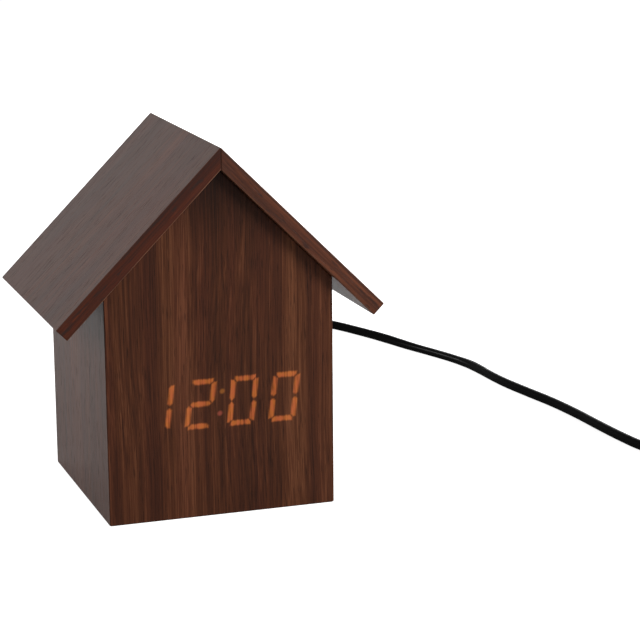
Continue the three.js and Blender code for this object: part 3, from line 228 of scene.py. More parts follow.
def coil_line():
    """Points along the coil, and on to the plug that lies beside it."""
    line = []
    steps = int(TURNS * TURN_STEPS)
    for i in range(steps + 1):
        turn = i / TURN_STEPS
        drop = smoothstep((turn - TURNS_IN) / LAYER_CHANGE + 0.5, 0, 1)
        line.append(coil_point(coil_radius(turn), turn, UPPER_LAYER - LAYER_PITCH * drop))
    last = line[-1]
    for i in range(1, TAIL_STEPS + 1):
        along = TAIL_LENGTH * i / TAIL_STEPS
        rise = (USB_HEIGHT - LOWER_LAYER) * smoothstep(along, 0, TAIL_RISE)
        line.append(last + Vector((0, along, rise)))
    return line


def twist_at(point):
    """How far the flex is turned about its own line, in radians: 0 stands it on its edge."""
    if point.x < TWIST_FROM_X:
        return 0.0
    far = smoothstep(-point.y, -TWIST_FAR_FADE[0], -TWIST_FAR_FADE[1])
    near = smoothstep(point.y, *TWIST_NEAR_FADE)
    return TWIST_ANGLE * far * near


def cord_section():
    """Outline of the twin flex, two round lobes with a shallow groove between: sideways and up."""
    lobe = CORD_THICKNESS / 2
    centre = CORD_WIDTH / 2 - lobe
    quarter = [(x * lobe, y * centre) for x, y in GROOVE]
    for degrees in LOBE_POINTS:
        angle = math.radians(degrees)
        quarter.append((lobe * math.cos(angle), centre + lobe * math.sin(angle)))
    top = [(0.0, centre + lobe)]
    right = quarter + top
    left = [(-x, y) for x, y in reversed(quarter)]
    upper = right + left
    lower = [(-x, -y) for x, y in upper[1:-1]]
    return upper + lower


def mesh_object(name, verts, faces):
    mesh = bpy.data.meshes.new(name)
    mesh.from_pydata([tuple(v) for v in verts], [], faces)
    mesh.validate()
    mesh.update()
    mesh.polygons.foreach_set("use_smooth", [True] * len(mesh.polygons))
    obj = bpy.data.objects.new(name, mesh)
    bpy.context.scene.collection.objects.link(obj)
    return obj


def tube_faces(rings, sides, closed=False):
    """Faces between rings of points. A tube that isn't closed to a loop is capped at both ends."""
    faces = []
    last = rings if closed else rings - 1
    for ring in range(last):
        after = (ring + 1) % rings
        for side in range(sides):
            turn = (side + 1) % sides
            near, far = ring * sides, after * sides
            faces.append((near + side, near + turn, far + turn, far + side))
    if not closed:
        faces.append(tuple(reversed(range(sides))))
        faces.append(tuple(range((rings - 1) * sides, rings * sides)))
    return faces


def make_camera():
    data = bpy.data.cameras.new("camera")
    data.lens = LENS
    data.sensor_width = SENSOR
    camera = bpy.data.objects.new("camera", data)
    back = -CAMERA_LOOK.normalized()
    up = back.cross(CAMERA_RIGHT).normalized()
    right = up.cross(back)
    turn = Matrix((right, up, back)).transposed()
    camera.matrix_world = Matrix.Translation(CAMERA_PLACE) @ turn.to_4x4()
    bpy.context.scene.collection.objects.link(camera)
    bpy.context.scene.camera = camera


def make_cord():
    """The flex from the plug at the back to the USB plug, lowered where it lies over."""
    line = catmull_rom(CORD_ROUTE, ROUTE_STEPS) + coil_line()
    slope = CORD_WIDTH / 2 - CORD_THICKNESS / 2
    line = [p - Vector((0, 0, slope * (1 - math.cos(twist_at(p))))) for p in line]
    outline = cord_section()
    verts = []
    for i, point in enumerate(line):
        ahead = (line[min(i + 1, len(line) - 1)] - line[max(i - 1, 0)]).normalized()
        side = ahead.cross(Vector((0, 0, 1))).normalized()
        up = side.cross(ahead)
        twist = twist_at(point)
        across = side * math.cos(twist) + up * math.sin(twist)
        over = up * math.cos(twist) - side * math.sin(twist)
        verts += [point + across * x + over * y for x, y in outline]
    cord = mesh_object("cord", verts, tube_faces(len(line), len(outline)))
    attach(cord, "clock")
    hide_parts("cord_lead", "cord_coil")
    return cord


def strap_ring(degrees, lift):
    """One section of the strap, which hugs the turns of the coil, with a lift over its own layer."""
    lobe = CORD_THICKNESS / 2
    reach = CORD_WIDTH / 2 - lobe
    upper = [(coil_radius(STRAP_TURN + i), UPPER_LAYER + reach) for i in (0, 1)]
    outer = [coil_radius(STRAP_TURN + i) for i in (TURNS_IN, 2 * TURNS_IN)]
    lower = [(radius, LOWER_LAYER + rise) for radius in outer for rise in (-reach, reach)]
    angle = math.radians(degrees)
    out, up = math.cos(angle), math.sin(angle)
    spot = max(upper + lower, key=lambda corner: corner[0] * out + corner[1] * up)
    middle = lobe + STRAP_SLACK + STRAP_THICKNESS / 2 + lift
    ring = []
    for across, share in STRAP_SECTION:
        away = middle + share * STRAP_THICKNESS / 2
        turn = STRAP_TURN + across * STRAP_WIDTH / 2 / (2 * math.pi * COIL_EDGE)
        ring.append(coil_point(spot[0] + away * out, turn, spot[1] + away * up))
    return ring


def make_strap():
    """Hook and loop strap round the coil, its free end laid over the top and inside."""
    sides = len(STRAP_SECTION)
    verts = []
    for i in range(STRAP_STEPS):
        verts += strap_ring(360 * i / STRAP_STEPS, 0.0)
    faces = tube_faces(STRAP_STEPS, sides, closed=True)
    start = len(verts)
    first, last = FREE_END
    rings = (last - first) // FREE_END_STEP + 1
    for i in range(rings):
        degrees = first + FREE_END_STEP * i
        rise = smoothstep(degrees, first, first + FREE_END_RISE)
        verts += strap_ring(degrees, rise * (STRAP_THICKNESS + FREE_END_GAP))
    faces += [tuple(start + v for v in face) for face in tube_faces(rings, sides)]
    strap = mesh_object("coil_strap", verts, faces)
    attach(strap, "clock")
    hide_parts("cord_tie")
    return strap


make_camera()
STRAP = make_strap()
CORD = make_cord()


# Node graphs
class Graph:
    """The nodes of a material or of the world, and short ways to add to them."""

    def __init__(self, owner):
        owner.use_nodes = True
        self.nodes = owner.node_tree.nodes
        self.links = owner.node_tree.links
        self.nodes.clear()

    def put(self, socket, value):
        """Link another node's output to a socket, or set it to a constant."""
        if isinstance(value, bpy.types.NodeSocket):
            self.links.new(value, socket)
        else:
            socket.default_value = value

    def add(self, kind, *values, **settings):
        """A new node with these settings. The values go to its first inputs, in their order."""
        node = self.nodes.new(kind)
        for name, setting in settings.items():
            setattr(node, name, setting)
        for socket, value in zip(node.inputs, values):
            self.put(socket, value)
        return node

    def math(self, operation, *values):
        return self.add("ShaderNodeMath", *values, operation=operation).outputs[0]


class Tree(Graph):
    """The graph of a material with one Principled shader, on coordinates in metres."""

    def __init__(self, name, rough=0.5, metallic=0.0, specular=0.5):
        self.material = bpy.data.materials.new(name)
        super().__init__(self.material)
        self.shader = self.add("ShaderNodeBsdfPrincipled")
        self.add("ShaderNodeOutputMaterial", self.shader.outputs[0])
        self.set(Roughness=rough, Metallic=metallic, Specular_IOR_Level=specular)
        self.place = self.add("ShaderNodeTexCoord").outputs["Object"]

    def set(self, **sockets):
        for name, value in sockets.items():
            self.put(self.shader.inputs[name.replace("_", " ")], value)
        return self.material

    def vector(self, operation, *values):
        return self.add("ShaderNodeVectorMath", *values, operation=operation)

    def length(self, vector):
        return self.vector("LENGTH", vector).outputs["Value"]

    def split(self, vector):
        return self.add("ShaderNodeSeparateXYZ", vector).outputs

    def join(self, x, y, z):
        return self.add("ShaderNodeCombineXYZ", x, y, z).outputs[0]

    def turned(self, vector, rotation):
        node = self.add("ShaderNodeMapping", vector)
        self.put(node.inputs["Rotation"], rotation)
        return node.outputs[0]

    def noise(self, vector, cells, detail=2.0, rough=0.5, seed=0.0):
        """Noise from 0 to 1, with so many cells to a metre along each axis."""
        scaled = self.vector("MULTIPLY", vector, cells).outputs[0]
        if seed:
            scaled = self.vector("ADD", scaled, (seed, seed * 0.7, seed * 1.3)).outputs[0]
        node = self.add("ShaderNodeTexNoise", scaled)
        for name, value in (("Scale", 1.0), ("Detail", detail), ("Roughness", rough)):
            self.put(node.inputs[name], value)
        return node.outputs["Fac"]

    def spread(self, value, low, high, to_low=0.0, to_high=1.0, smooth=False):
        """The range from low to high put onto another range, and held past its ends."""
        way = "SMOOTHSTEP" if smooth else "LINEAR"
        numbers = (value, low, high, to_low, to_high)
        return self.add("ShaderNodeMapRange", *numbers, interpolation_type=way, clamp=True).outputs[0]

    def around(self, value, middle, swing):
        """A value from 0 to 1 as a swing about a middle."""
        return self.math("MULTIPLY_ADD", value, swing, middle - swing / 2)

    def blend(self, value, other, share):
        """Two values from 0 to 1 added, the first with this share and the other with the rest."""
        return self.math("MULTIPLY_ADD", value, share, self.math("MULTIPLY", other, 1 - share))

    def least(self, *values):
        lowest, *others = values
        for value in others:
            lowest = self.math("MINIMUM", lowest, value)
        return lowest

    def ramp(self, value, stops):
        node = self.add("ShaderNodeValToRGB", value)
        band = node.color_ramp
        while len(band.elements) < len(stops):
            band.elements.new(0.5)
        for element, (place, colour) in zip(band.elements, stops):
            element.position = place
            element.color = tone(colour)
        return node.outputs[0]

    def mix(self, share, a, b, way="MIX"):
        node = self.add("ShaderNodeMix", share, data_type="RGBA", blend_type=way)
        for socket, value in ((node.inputs[6], a), (node.inputs[7], b)):
            self.put(socket, value)
        return node.outputs[2]

    def tinted(self, colour, tint):
        return self.mix(1.0, colour, tint, "MULTIPLY")

    def bump(self, height, depth, strength):
        node = self.add("ShaderNodeBump")
        for name, value in (("Strength", strength), ("Distance", depth), ("Height", height)):
            self.put(node.inputs[name], value)
        return node.outputs[0]

    def facing(self, axis):
        """How squarely a face looks along an axis: 1 along it, either way, and 0 across it."""
        normal = self.add("ShaderNodeNewGeometry").outputs["True Normal"]
        return self.math("ABSOLUTE", self.split(normal)[axis])


def linear(colour):
    """A colour of 0 to 255 per channel, as displays have it, in linear light."""
    shares = [c / 255 for c in colour]
    return [s / 12.92 if s <= 0.04045 else ((s + 0.055) / 1.055) ** 2.4 for s in shares]


def tone(colour):
    return (*linear(colour), 1)


# Veneer: its tones from dark grain to pale, and how far each layer of the grain moves along them
VENEER_TONES = [
    (0.06, (36, 18, 11)),
    (0.36, (56, 29, 18)),
    (0.58, (71, 38, 23)),
    (0.92, (101, 60, 40)),
]
BAND_SWING = 0.8
PALE_SHIFT = 0.2
STREAK_SWING = 0.88
FIBRE_SWING = 0.66
THREAD_SWING = 0.5
# How far the grain wanders
GRAIN_DRIFT = 8 * MM
# Tints of its greener and its redder patches, and the tone of its open pores
VENEER_TINTS = ((0.985, 1.01, 0.965, 1), (1.02, 0.985, 1.03, 1))
PORE_TONE = (20, 9, 5)
# Roughness: its middle, what a streak takes or adds, and what a pore adds
VENEER_ROUGH = 0.42
STREAK_ROUGH = 0.16
PORE_ROUGH = 0.15
VENEER_RELIEF = 0.04 * MM


def veneer(name, seed, turn=(0, 0, 0), specular=0.08, pale=(), porous=0.7, streaky=1.0):
    """Walnut veneer. The grain runs along the last of the turned coordinates."""
    tree = Tree(name, specular=specular)
    place = tree.turned(tree.place, turn)
    x, y, z = tree.split(place)
    drift = tree.around(tree.noise(place, (16, 16, 7), detail=1.0, seed=seed + 3), 0.0, GRAIN_DRIFT)
    grain = tree.join(tree.math("ADD", x, drift), tree.math("ADD", y, drift), z)
    band = tree.noise(grain, (95, 95, 2.2), detail=3.0, rough=0.7, seed=seed + 11)
    streak = tree.noise(grain, (840, 840, 8), detail=4.0, rough=0.72, seed=seed + 23)
    fibre = tree.noise(grain, (2600, 2600, 45), seed=seed + 31)
    thread = tree.noise(grain, (1350, 1350, 6), detail=1.0, seed=seed + 67)
    pores = tree.noise(grain, (2300, 2300, 130), detail=1.0, seed=seed + 41)
    hue = tree.noise(grain, (150, 150, 4), seed=seed + 53)

    shade = tree.around(band, 0.5, BAND_SWING)
    for centre, half in pale:
        off = tree.math("ABSOLUTE", tree.math("SUBTRACT", x, centre))
        paler = tree.spread(off, half, 0.2 * half, 0.0, PALE_SHIFT, smooth=True)
        shade = tree.math("ADD", shade, paler)
    for layer, swing in ((streak, STREAK_SWING), (fibre, FIBRE_SWING), (thread, THREAD_SWING)):
        shade = tree.math("ADD", shade, tree.around(layer, 0.0, swing * streaky))
    warm = tree.spread(hue, 0.32, 0.68, smooth=True)
    colour = tree.tinted(tree.ramp(shade, VENEER_TONES), tree.mix(warm, *VENEER_TINTS))
    pore = tree.spread(pores, 0.58, 0.72, smooth=True)
    colour = tree.mix(tree.math("MULTIPLY", pore, porous), colour, tone(PORE_TONE))
    gloss = tree.math("MULTIPLY_ADD", pore, PORE_ROUGH, tree.around(streak, VENEER_ROUGH, STREAK_ROUGH))
    relief = tree.math("MULTIPLY_ADD", pore, -0.8, tree.math("MULTIPLY", fibre, 0.5))
    tree.set(Base_Color=colour, Roughness=gloss, Normal=tree.bump(relief, VENEER_RELIEF, 0.7))
    tree.along, tree.colour, tree.streak, tree.fibre, tree.pore = place, colour, streak, fibre, pore
    return tree


def bar(tree, out, along, half_length, ends):
    """Distance to a lit bar, in metres. Its out side is longer where an end is mitred to a corner."""
    mitre = half_length - SEGMENT_GAP * math.sqrt(2)
    side = tree.math("SUBTRACT", tree.math("ABSOLUTE", out), SEGMENT / 2)
    either = tree.math("ABSOLUTE", along)
    limits = []
    if ends == "points":
        limits.append((tree.math("ADD", either, tree.math("ABSOLUTE", out)), mitre))
    else:
        far = either if ends == "mitres" else along
        limits.append((tree.math("SUBTRACT", far, out), mitre))
        limits.append((tree.math("ADD", far, out), half_length + SEGMENT - CORNER_CUT))
    if ends == "mitre and point":
        near = tree.math("SUBTRACT", tree.math("ABSOLUTE", out), along)
        limits.append((near, mitre))
    for reach, limit in limits:
        slope = tree.math("MULTIPLY", tree.math("SUBTRACT", reach, limit), math.sqrt(0.5))
        side = tree.math("MAXIMUM", side, slope)
    end = tree.math("SUBTRACT", either, half_length + SEGMENT / 2 - END_CUT)
    return tree.math("MAXIMUM", side, end)


def digits(tree):
    """How far a point of the front is from the lit bars, and from the middle of each colon dot."""
    x, y, z = tree.split(tree.place)
    up = tree.math("SUBTRACT", z, DISPLAY_CENTRE)
    across = tree.math("MULTIPLY_ADD", up, -DIGIT_LEAN, x)
    half = (DIGIT_WIDTH - SEGMENT) / 2
    tall = (DIGIT_HEIGHT - SEGMENT) / 2
    height = tree.math("ABSOLUTE", up)
    from_half = tree.math("SUBTRACT", height, tall / 2)
    from_top = tree.math("SUBTRACT", height, tall)

    def upright(spot):
        """The bars at the right of a digit, above and below its middle."""
        return bar(tree, tree.math("SUBTRACT", spot, half), from_half, tall / 2, "mitre and point")

    # The zeros mirror each other and themselves, and the two is the same when turned by half
    zeros = tree.math("ABSOLUTE", tree.math("SUBTRACT", across, DIGIT_PITCH))
    zeros = tree.math("ABSOLUTE", tree.math("SUBTRACT", zeros, DIGIT_PITCH / 2))
    two = tree.math("ADD", across, DIGIT_PITCH / 2)
    turned = tree.math("MULTIPLY", two, tree.math("SIGN", up))
    one = tree.math("ADD", across, DIGIT_PITCH * 1.5)
    bars = tree.least(
        upright(zeros),
        bar(tree, from_top, zeros, half, "mitres"),
        upright(turned),
        bar(tree, from_top, two, half, "mitres"),
        bar(tree, up, two, half, "points"),
        upright(one),
    )
    dots = []
    for side in (1, -1):
        from_dot = tree.math("SUBTRACT", up, side * COLON_SPACING / 2)
        spot = tree.join(tree.math("SUBTRACT", across, COLON_SHIFT), from_dot, 0.0)
        dots.append(tree.length(spot))
    face = tree.math("LESS_THAN", y, FRONT + FACE_DEPTH)
    return bars, dots, face


# Front: the middle and half width of its broad paler bands
PALE_BANDS = [(-17 * MM, 9 * MM), (29.5 * MM, 7 * MM)]
# Painted shade under the roof's overhang: how dark the front is painted right under the ridge, and from
# where to where that fades
PAINTED_RIDGE_SHADE = 0.42
RIDGE_CORE = 4 * MM
RIDGE_REACH = 40 * MM
# Light of the digits, from its redder to its yellower patches, and of the upper and lower colon dot
AMBER = ((0.345, 0.077, 0.021, 1), (0.335, 0.088, 0.014, 1))
COLON_AMBER = ((0.165, 0.056, 0.008, 1), (0.165, 0.032, 0.022, 1))
COLON_BLUR = (0.4 * MM, -0.6 * MM)
HALO_REACH = 2.5 * MM
HALO_SHARE = 0.012
# How much of the light comes through streaks, fibres and pores, and its least and most
GLOW_STREAK = 2.4
GLOW_FIBRE = 1.5
GLOW_PORE = -0.3
GLOW_LEAST = 0.5
GLOW_MOST = 1.3


def front_veneer():
    """The front, with the digits in it as light that comes through its thin skin."""
    tree = veneer("front_veneer", 2.0, pale=PALE_BANDS, porous=0.5)
    x, _, z = tree.split(tree.place)
    # Painted shade: the front's colour is darkened round the ridge, where the roof's overhang shades it
    under = tree.join(x, 0.0, tree.math("SUBTRACT", z, RIDGE))
    ridge = tree.spread(tree.length(under), RIDGE_REACH, RIDGE_CORE, 1.0, PAINTED_RIDGE_SHADE, smooth=True)
    tree.set(Base_Color=tree.tinted(tree.colour, ridge))

    bars, dots, face = digits(tree)
    bars = tree.math("ADD", bars, tree.around(tree.streak, 0.0, -DIGIT_RAGGED))
    lit = tree.spread(bars, DIGIT_BLUR, -DIGIT_BLUR, smooth=True)
    halo = tree.spread(bars, HALO_REACH, 0.0, smooth=True)
    glow = tree.math("MULTIPLY_ADD", halo, HALO_SHARE, lit)
    grain = tree.around(tree.streak, 0.25, GLOW_STREAK)
    grain = tree.math("MULTIPLY_ADD", tree.fibre, GLOW_FIBRE, grain)
    grain = tree.math("MULTIPLY_ADD", tree.pore, GLOW_PORE, grain)
    grain = tree.math("MINIMUM", tree.math("MAXIMUM", grain, GLOW_LEAST), GLOW_MOST)
    cloud = tree.noise(tree.place, (480, 480, 330), seed=7.0)
    grain = tree.math("MULTIPLY", grain, tree.spread(cloud, 0.3, 0.7, 0.8, 1.16))
    glow = tree.math("MULTIPLY", tree.math("MULTIPLY", glow, grain), face)
    hue = tree.noise(tree.place, (420, 420, 300), detail=1.0, seed=17.0)
    amber = tree.mix(tree.spread(hue, 0.35, 0.65, smooth=True), *AMBER)
    light = tree.mix(glow, (0, 0, 0, 1), amber)
    outer, inner = (COLON_RADIUS + blur for blur in COLON_BLUR)
    for dot, colour in zip(dots, COLON_AMBER):
        spot = tree.math("MULTIPLY", tree.spread(dot, outer, inner, smooth=True), face)
        light = tree.mix(spot, light, colour, "ADD")
    return tree.set(Emission_Color=light, Emission_Strength=1.0)


# Roof boards: the tints of the clouds in their veneer
CLOUD_TINTS = ((0.9, 0.93, 1.02, 1), (1.12, 1.02, 1.0, 1))
# Front edges of the left and the right board: strength of their dark line, and their tint, a painted
# shade that darkens the left edge far more than the right
EDGE_LINE = {-1: 0.35, 1: 0.75}
EDGE_PAINTED_LIGHT_TINT = {-1: (0.82, 0.43, 0.12, 1), 1: (1.08, 0.95, 0.82, 1)}
# That line's depth under the top face, and from where to where it fades
LINE_DEPTH = 0.75 * MM
LINE_CORE = 0.06 * MM
LINE_REACH = 0.22 * MM
LINE_TONE = (26, 14, 10)
FLECK_SHARE = 0.7
FLECK_TONE = (34, 17, 12)
# Painted highlight along the lower rim of the edges: from where to where it fades, and how strong it is
# at least and at most
RIM_CORE = 0.2 * MM
RIM_REACH = 0.5 * MM
RIM_HIGHLIGHT = (0.1, 0.3)
RIM_HIGHLIGHT_TONE = (168, 122, 92)


def roof_veneer(name, side):
    """Grain down the slope. The edges show the top veneer's thickness as a dark line."""
    turn = (0, side * math.pi / 4, 0)
    tree = veneer(name, 5.0 + side, turn, specular=0.16, porous=0.4, streaky=0.65)
    cloud = tree.noise(tree.along, (30, 30, 11), seed=side + 3.0)
    cloud = tree.mix(tree.spread(cloud, 0.35, 0.65, smooth=True), *CLOUD_TINTS)
    colour = tree.tinted(tree.colour, cloud)

    facing = tree.facing(1)
    edge = tree.spread(facing, 0.9, 0.98)
    # Painted shade: the same veneer tinted far darker on the left board's edge than on the right's
    cut = tree.tinted(tree.colour, EDGE_PAINTED_LIGHT_TINT[side])
    cut = tree.tinted(cut, tree.spread(tree.streak, 0.3, 0.7, 0.7, 1.3))
    flecks = tree.noise(tree.along, (480, 480, 110), seed=side + 27.0)
    flecks = tree.math("MULTIPLY", tree.spread(flecks, 0.6, 0.68, smooth=True), FLECK_SHARE)
    colour = tree.mix(edge, colour, tree.mix(flecks, cut, tone(FLECK_TONE)))

    x, _, z = tree.split(tree.place)
    height = tree.math("ADD", tree.math("ABSOLUTE", x), z)
    height = tree.math("MULTIPLY", height, math.sqrt(0.5))
    line = tree.math("SUBTRACT", ROOF_UNDERSIDE + BOARD - LINE_DEPTH, height)
    line = tree.spread(tree.math("ABSOLUTE", line), LINE_REACH, LINE_CORE, smooth=True)
    line = tree.math("MULTIPLY", tree.math("MULTIPLY", line, edge), EDGE_LINE[side])
    colour = tree.mix(line, colour, tone(LINE_TONE))

    # Painted highlight: a pale line along the lower rim of the edges, in patches
    rim = tree.spread(height, ROOF_UNDERSIDE + RIM_REACH, ROOF_UNDERSIDE + RIM_CORE)
    rim = tree.math("MULTIPLY", rim, tree.spread(facing, 0.3, 0.5))
    patches = tree.noise(tree.place, (60, 60, 60), detail=3.0, seed=side + 9.0)
    rim = tree.math("MULTIPLY", rim, tree.spread(patches, 0.4, 0.65, *RIM_HIGHLIGHT))
    return tree.set(Base_Color=tree.mix(rim, colour, tone(RIM_HIGHLIGHT_TONE)))


def raw_board():
    tree = Tree("raw_board")
    grain = tree.noise(tree.place, (900, 900, 30), detail=3.0, rough=0.6)
    speck = tree.noise(tree.place, (2500, 2500, 1800))
    shade = tree.blend(grain, speck, 0.7)
    colour = tree.ramp(shade, [(0.3, (112, 84, 58)), (0.55, (138, 106, 76)), (0.8, (160, 128, 96))])
    rough = tree.spread(speck, 0.2, 0.8, 0.78, 0.95)
    return tree.set(Base_Color=colour, Roughness=rough, Normal=tree.bump(shade, 0.08 * MM, 0.6))


# Plastics: the outer mouldings' tone and grain, and the ink of the signs printed on them
MOULDING_TONE = (15, 15, 16)
MOULDING_GRAIN = {"size": 1900, "depth": 0.06 * MM, "specular": 0.22}
INK_TONE = (186, 186, 182)
INK_SHARE = 0.85
INK_BLUR = 0.06 * MM
INK_DEPTH = 0.1 * MM


def moulded_tree(name, colour, rough, size=2600, depth=0.03 * MM, specular=0.5):
    """Moulded plastic with a spark-eroded grain of so many cells a metre."""
    tree = Tree(name, specular=specular)
    cells = tree.add("ShaderNodeTexVoronoi", tree.place, feature="SMOOTH_F1")
    tree.put(cells.inputs["Scale"], size)
    tree.put(cells.inputs["Smoothness"], 0.6)
    speck = cells.outputs["Distance"]
    cloud = tree.noise(tree.place, (60, 60, 60), detail=3.0)
    low, high = [c * 0.8 for c in colour], [min(c * 1.22 + 2, 255) for c in colour]
    shade = tree.math("MULTIPLY_ADD", cloud, 0.6, tree.math("MULTIPLY", speck, 0.6))
    tree.colour = tree.ramp(shade, [(0.25, low), (0.75, high)])
    gloss = tree.math("MULTIPLY_ADD", speck, 0.2, tree.around(cloud, rough, 0.14))
    tree.set(Base_Color=tree.colour, Roughness=gloss, Normal=tree.bump(speck, depth, 0.8))
    return tree


def moulded(name, colour, rough, **grain):
    return moulded_tree(name, colour, rough, **grain).material


def printed_housing():
    """The rear moulding, with small plain signs printed under its buttons and its switch."""
    tree = moulded_tree("printed_moulding", MOULDING_TONE, 0.5, **MOULDING_GRAIN)
    x, y, z = tree.split(tree.place)
    up = tree.math("SUBTRACT", z, SIGN_HEIGHT)
    signs = []
    for centre, turn in ((UP_SIGN, 1), (DOWN_SIGN, -1)):
        across = tree.math("ABSOLUTE", tree.math("SUBTRACT", x, centre))
        across = tree.math("MULTIPLY", across, math.sqrt(0.75))
        slope = tree.math("MULTIPLY_ADD", up, 0.5 * turn, across)
        reach = tree.math("MAXIMUM", slope, tree.math("MULTIPLY", up, -turn))
        signs.append(tree.math("SUBTRACT", reach, SIGN_SIZE / 2))
    for centre, radius, line in ROUND_SIGNS:
        off = tree.length(tree.join(tree.math("SUBTRACT", x, centre), up, 0.0))
        ring = tree.math("ABSOLUTE", tree.math("SUBTRACT", off, radius))
        signs.append(tree.math("SUBTRACT", ring, line))
    ink = tree.spread(tree.least(*signs), INK_BLUR, -INK_BLUR, smooth=True)
    ink = tree.math("MULTIPLY", ink, tree.math("GREATER_THAN", y, HOUSING_FACE - INK_DEPTH))
    ink = tree.math("MULTIPLY", ink, INK_SHARE)
    return tree.set(Base_Color=tree.mix(ink, tree.colour, tone(INK_TONE)))


def flex(name, low, high, specular):
    """Satin black flex of the cord, or the same stuff moulded on its plugs, between two tones."""
    tree = Tree(name, specular=specular)
    dust = tree.noise(tree.place, (300, 300, 300), detail=4.0, rough=0.65)
    skin = tree.noise(tree.place, (2200, 2200, 2200))
    tint = tree.ramp(dust, [(0.3, low), (0.7, high)])
    gloss = tree.around(dust, 0.48, 0.2)
    return tree.set(Base_Color=tint, Roughness=gloss, Normal=tree.bump(skin, 0.01 * MM, 0.6))


def strap_cloth():
    """Black hook and loop tape, a fuzz of fine loops."""
    tree = Tree("strap_cloth", rough=0.9, specular=0.1)
    loops = tree.noise(tree.place, (3200, 3200, 3200), detail=3.0, rough=0.7)
    rows = tree.noise(tree.place, (900, 900, 900), detail=1.0)
    tint = tree.ramp(tree.blend(loops, rows, 0.7), [(0.3, (9, 9, 10)), (0.7, (34, 34, 35))])
    return tree.set(Base_Color=tint, Normal=tree.bump(loops, 0.1 * MM, 0.9))


def amber_lens():
    tree = Tree("amber_lens")
    cloud = tree.noise(tree.place, (700, 700, 700))
    tint = tree.ramp(cloud, [(0.3, (168, 82, 30)), (0.7, (190, 104, 48))])
    gloss = tree.around(cloud, 0.37, 0.1)
    return tree.set(Base_Color=tint, Roughness=gloss, Normal=tree.bump(cloud, 0.02 * MM, 0.4))


def circuit():
    """Green solder mask, in rows of parts and the paler tracks between them."""
    tree = Tree("circuit_green")
    x, y, z = tree.split(tree.place)
    bricks = tree.add("ShaderNodeTexBrick", tree.join(x, z, y))
    tones = (("Color1", (25, 66, 38)), ("Color2", (31, 82, 47)), ("Mortar", (44, 104, 62)))
    for name, colour in tones:
        tree.put(bricks.inputs[name], tone(colour))
    tree.put(bricks.inputs["Scale"], 180)
    tree.put(bricks.inputs["Mortar Size"], 0.06)
    weave = tree.noise(tree.place, (1500, 1500, 1500))
    tint = tree.mix(tree.math("MULTIPLY", weave, 0.35), bricks.outputs[0], tone((18, 52, 30)))
    gloss = tree.around(weave, 0.44, 0.12)
    return tree.set(Base_Color=tint, Roughness=gloss, Normal=tree.bump(weave, 0.01 * MM, 0.5))


# Ribbon cable: from one wire to the next
WIRE_PITCH = 1.0 * MM


def ribbon():
    """Grey ribbon cable with a ridge over each wire, painted paler over the wires and darker in the
    grooves.
    """
    tree = Tree("ribbon_grey")
    x = tree.split(tree.place)[0]
    wires = tree.math("SINE", tree.math("MULTIPLY", x, 2 * math.pi / WIRE_PITCH))
    # Painted shade and highlight: the grey is darker in the grooves between the wires and paler over
    # them
    share = tree.math("MULTIPLY_ADD", wires, 0.5, 0.5)
    tint = tree.ramp(share, [(0.1, (104, 106, 110)), (0.7, (146, 148, 152))])
    gloss = tree.around(tree.noise(tree.place, (500, 500, 500)), 0.575, 0.15)
    return tree.set(Base_Color=tint, Roughness=gloss, Normal=tree.bump(wires, 0.15 * MM, 0.7))


# Battery: where its film ends, from the middle, and the place and half width of its collar
FILM_END = (21.2 * MM, 21.4 * MM)
COLLAR = 17 * MM
COLLAR_HALF = (1.6 * MM, 1.4 * MM)


def cell_jacket():
    """A film jacket with a plain collar at each end, and the bare metal of the two ends."""
    tree = Tree("cell_jacket")
    along = tree.math("ABSOLUTE", tree.split(tree.place)[0])
    end = tree.spread(along, *FILM_END)
    collar = tree.spread(tree.math("ABSOLUTE", tree.math("SUBTRACT", along, COLLAR)), *COLLAR_HALF)
    film = tree.noise(tree.place, (400, 900, 900), detail=3.0)
    body = tree.ramp(film, [(0.3, (52, 68, 80)), (0.7, (68, 86, 100))])
    body = tree.mix(collar, body, tone((178, 138, 70)))
    tint = tree.mix(end, body, tone((176, 176, 172)))
    relief = tree.bump(film, 0.01 * MM, 0.5)
    gloss = tree.around(film, 0.33, 0.18)
    return tree.set(Base_Color=tint, Roughness=gloss, Metallic=end, Normal=relief)


# Metals
def plated(name, colour, rough, cells=(2600, 2600, 2600)):
    tree = Tree(name, metallic=1.0)
    brush = tree.noise(tree.place, cells)
    cloud = tree.noise(tree.place, (350, 350, 350), detail=3.0)
    low, high = [c * 0.88 for c in colour], [min(c * 1.06, 255) for c in colour]
    tint = tree.ramp(tree.blend(cloud, brush, 0.6), [(0.3, low), (0.7, high)])
    gloss = tree.around(brush, rough, 0.16)
    return tree.set(Base_Color=tint, Roughness=gloss, Normal=tree.bump(brush, 0.008 * MM, 0.6))


# USB shell: how far its holes are from the middle, half their width and their soft edge, and
# where the line of its seam fades
USB_HOLE_OFF = 2.6 * MM
USB_HOLE = 1.05 * MM
USB_HOLE_BLUR = 0.08 * MM
USB_SEAM = (0.12 * MM, 0.04 * MM)


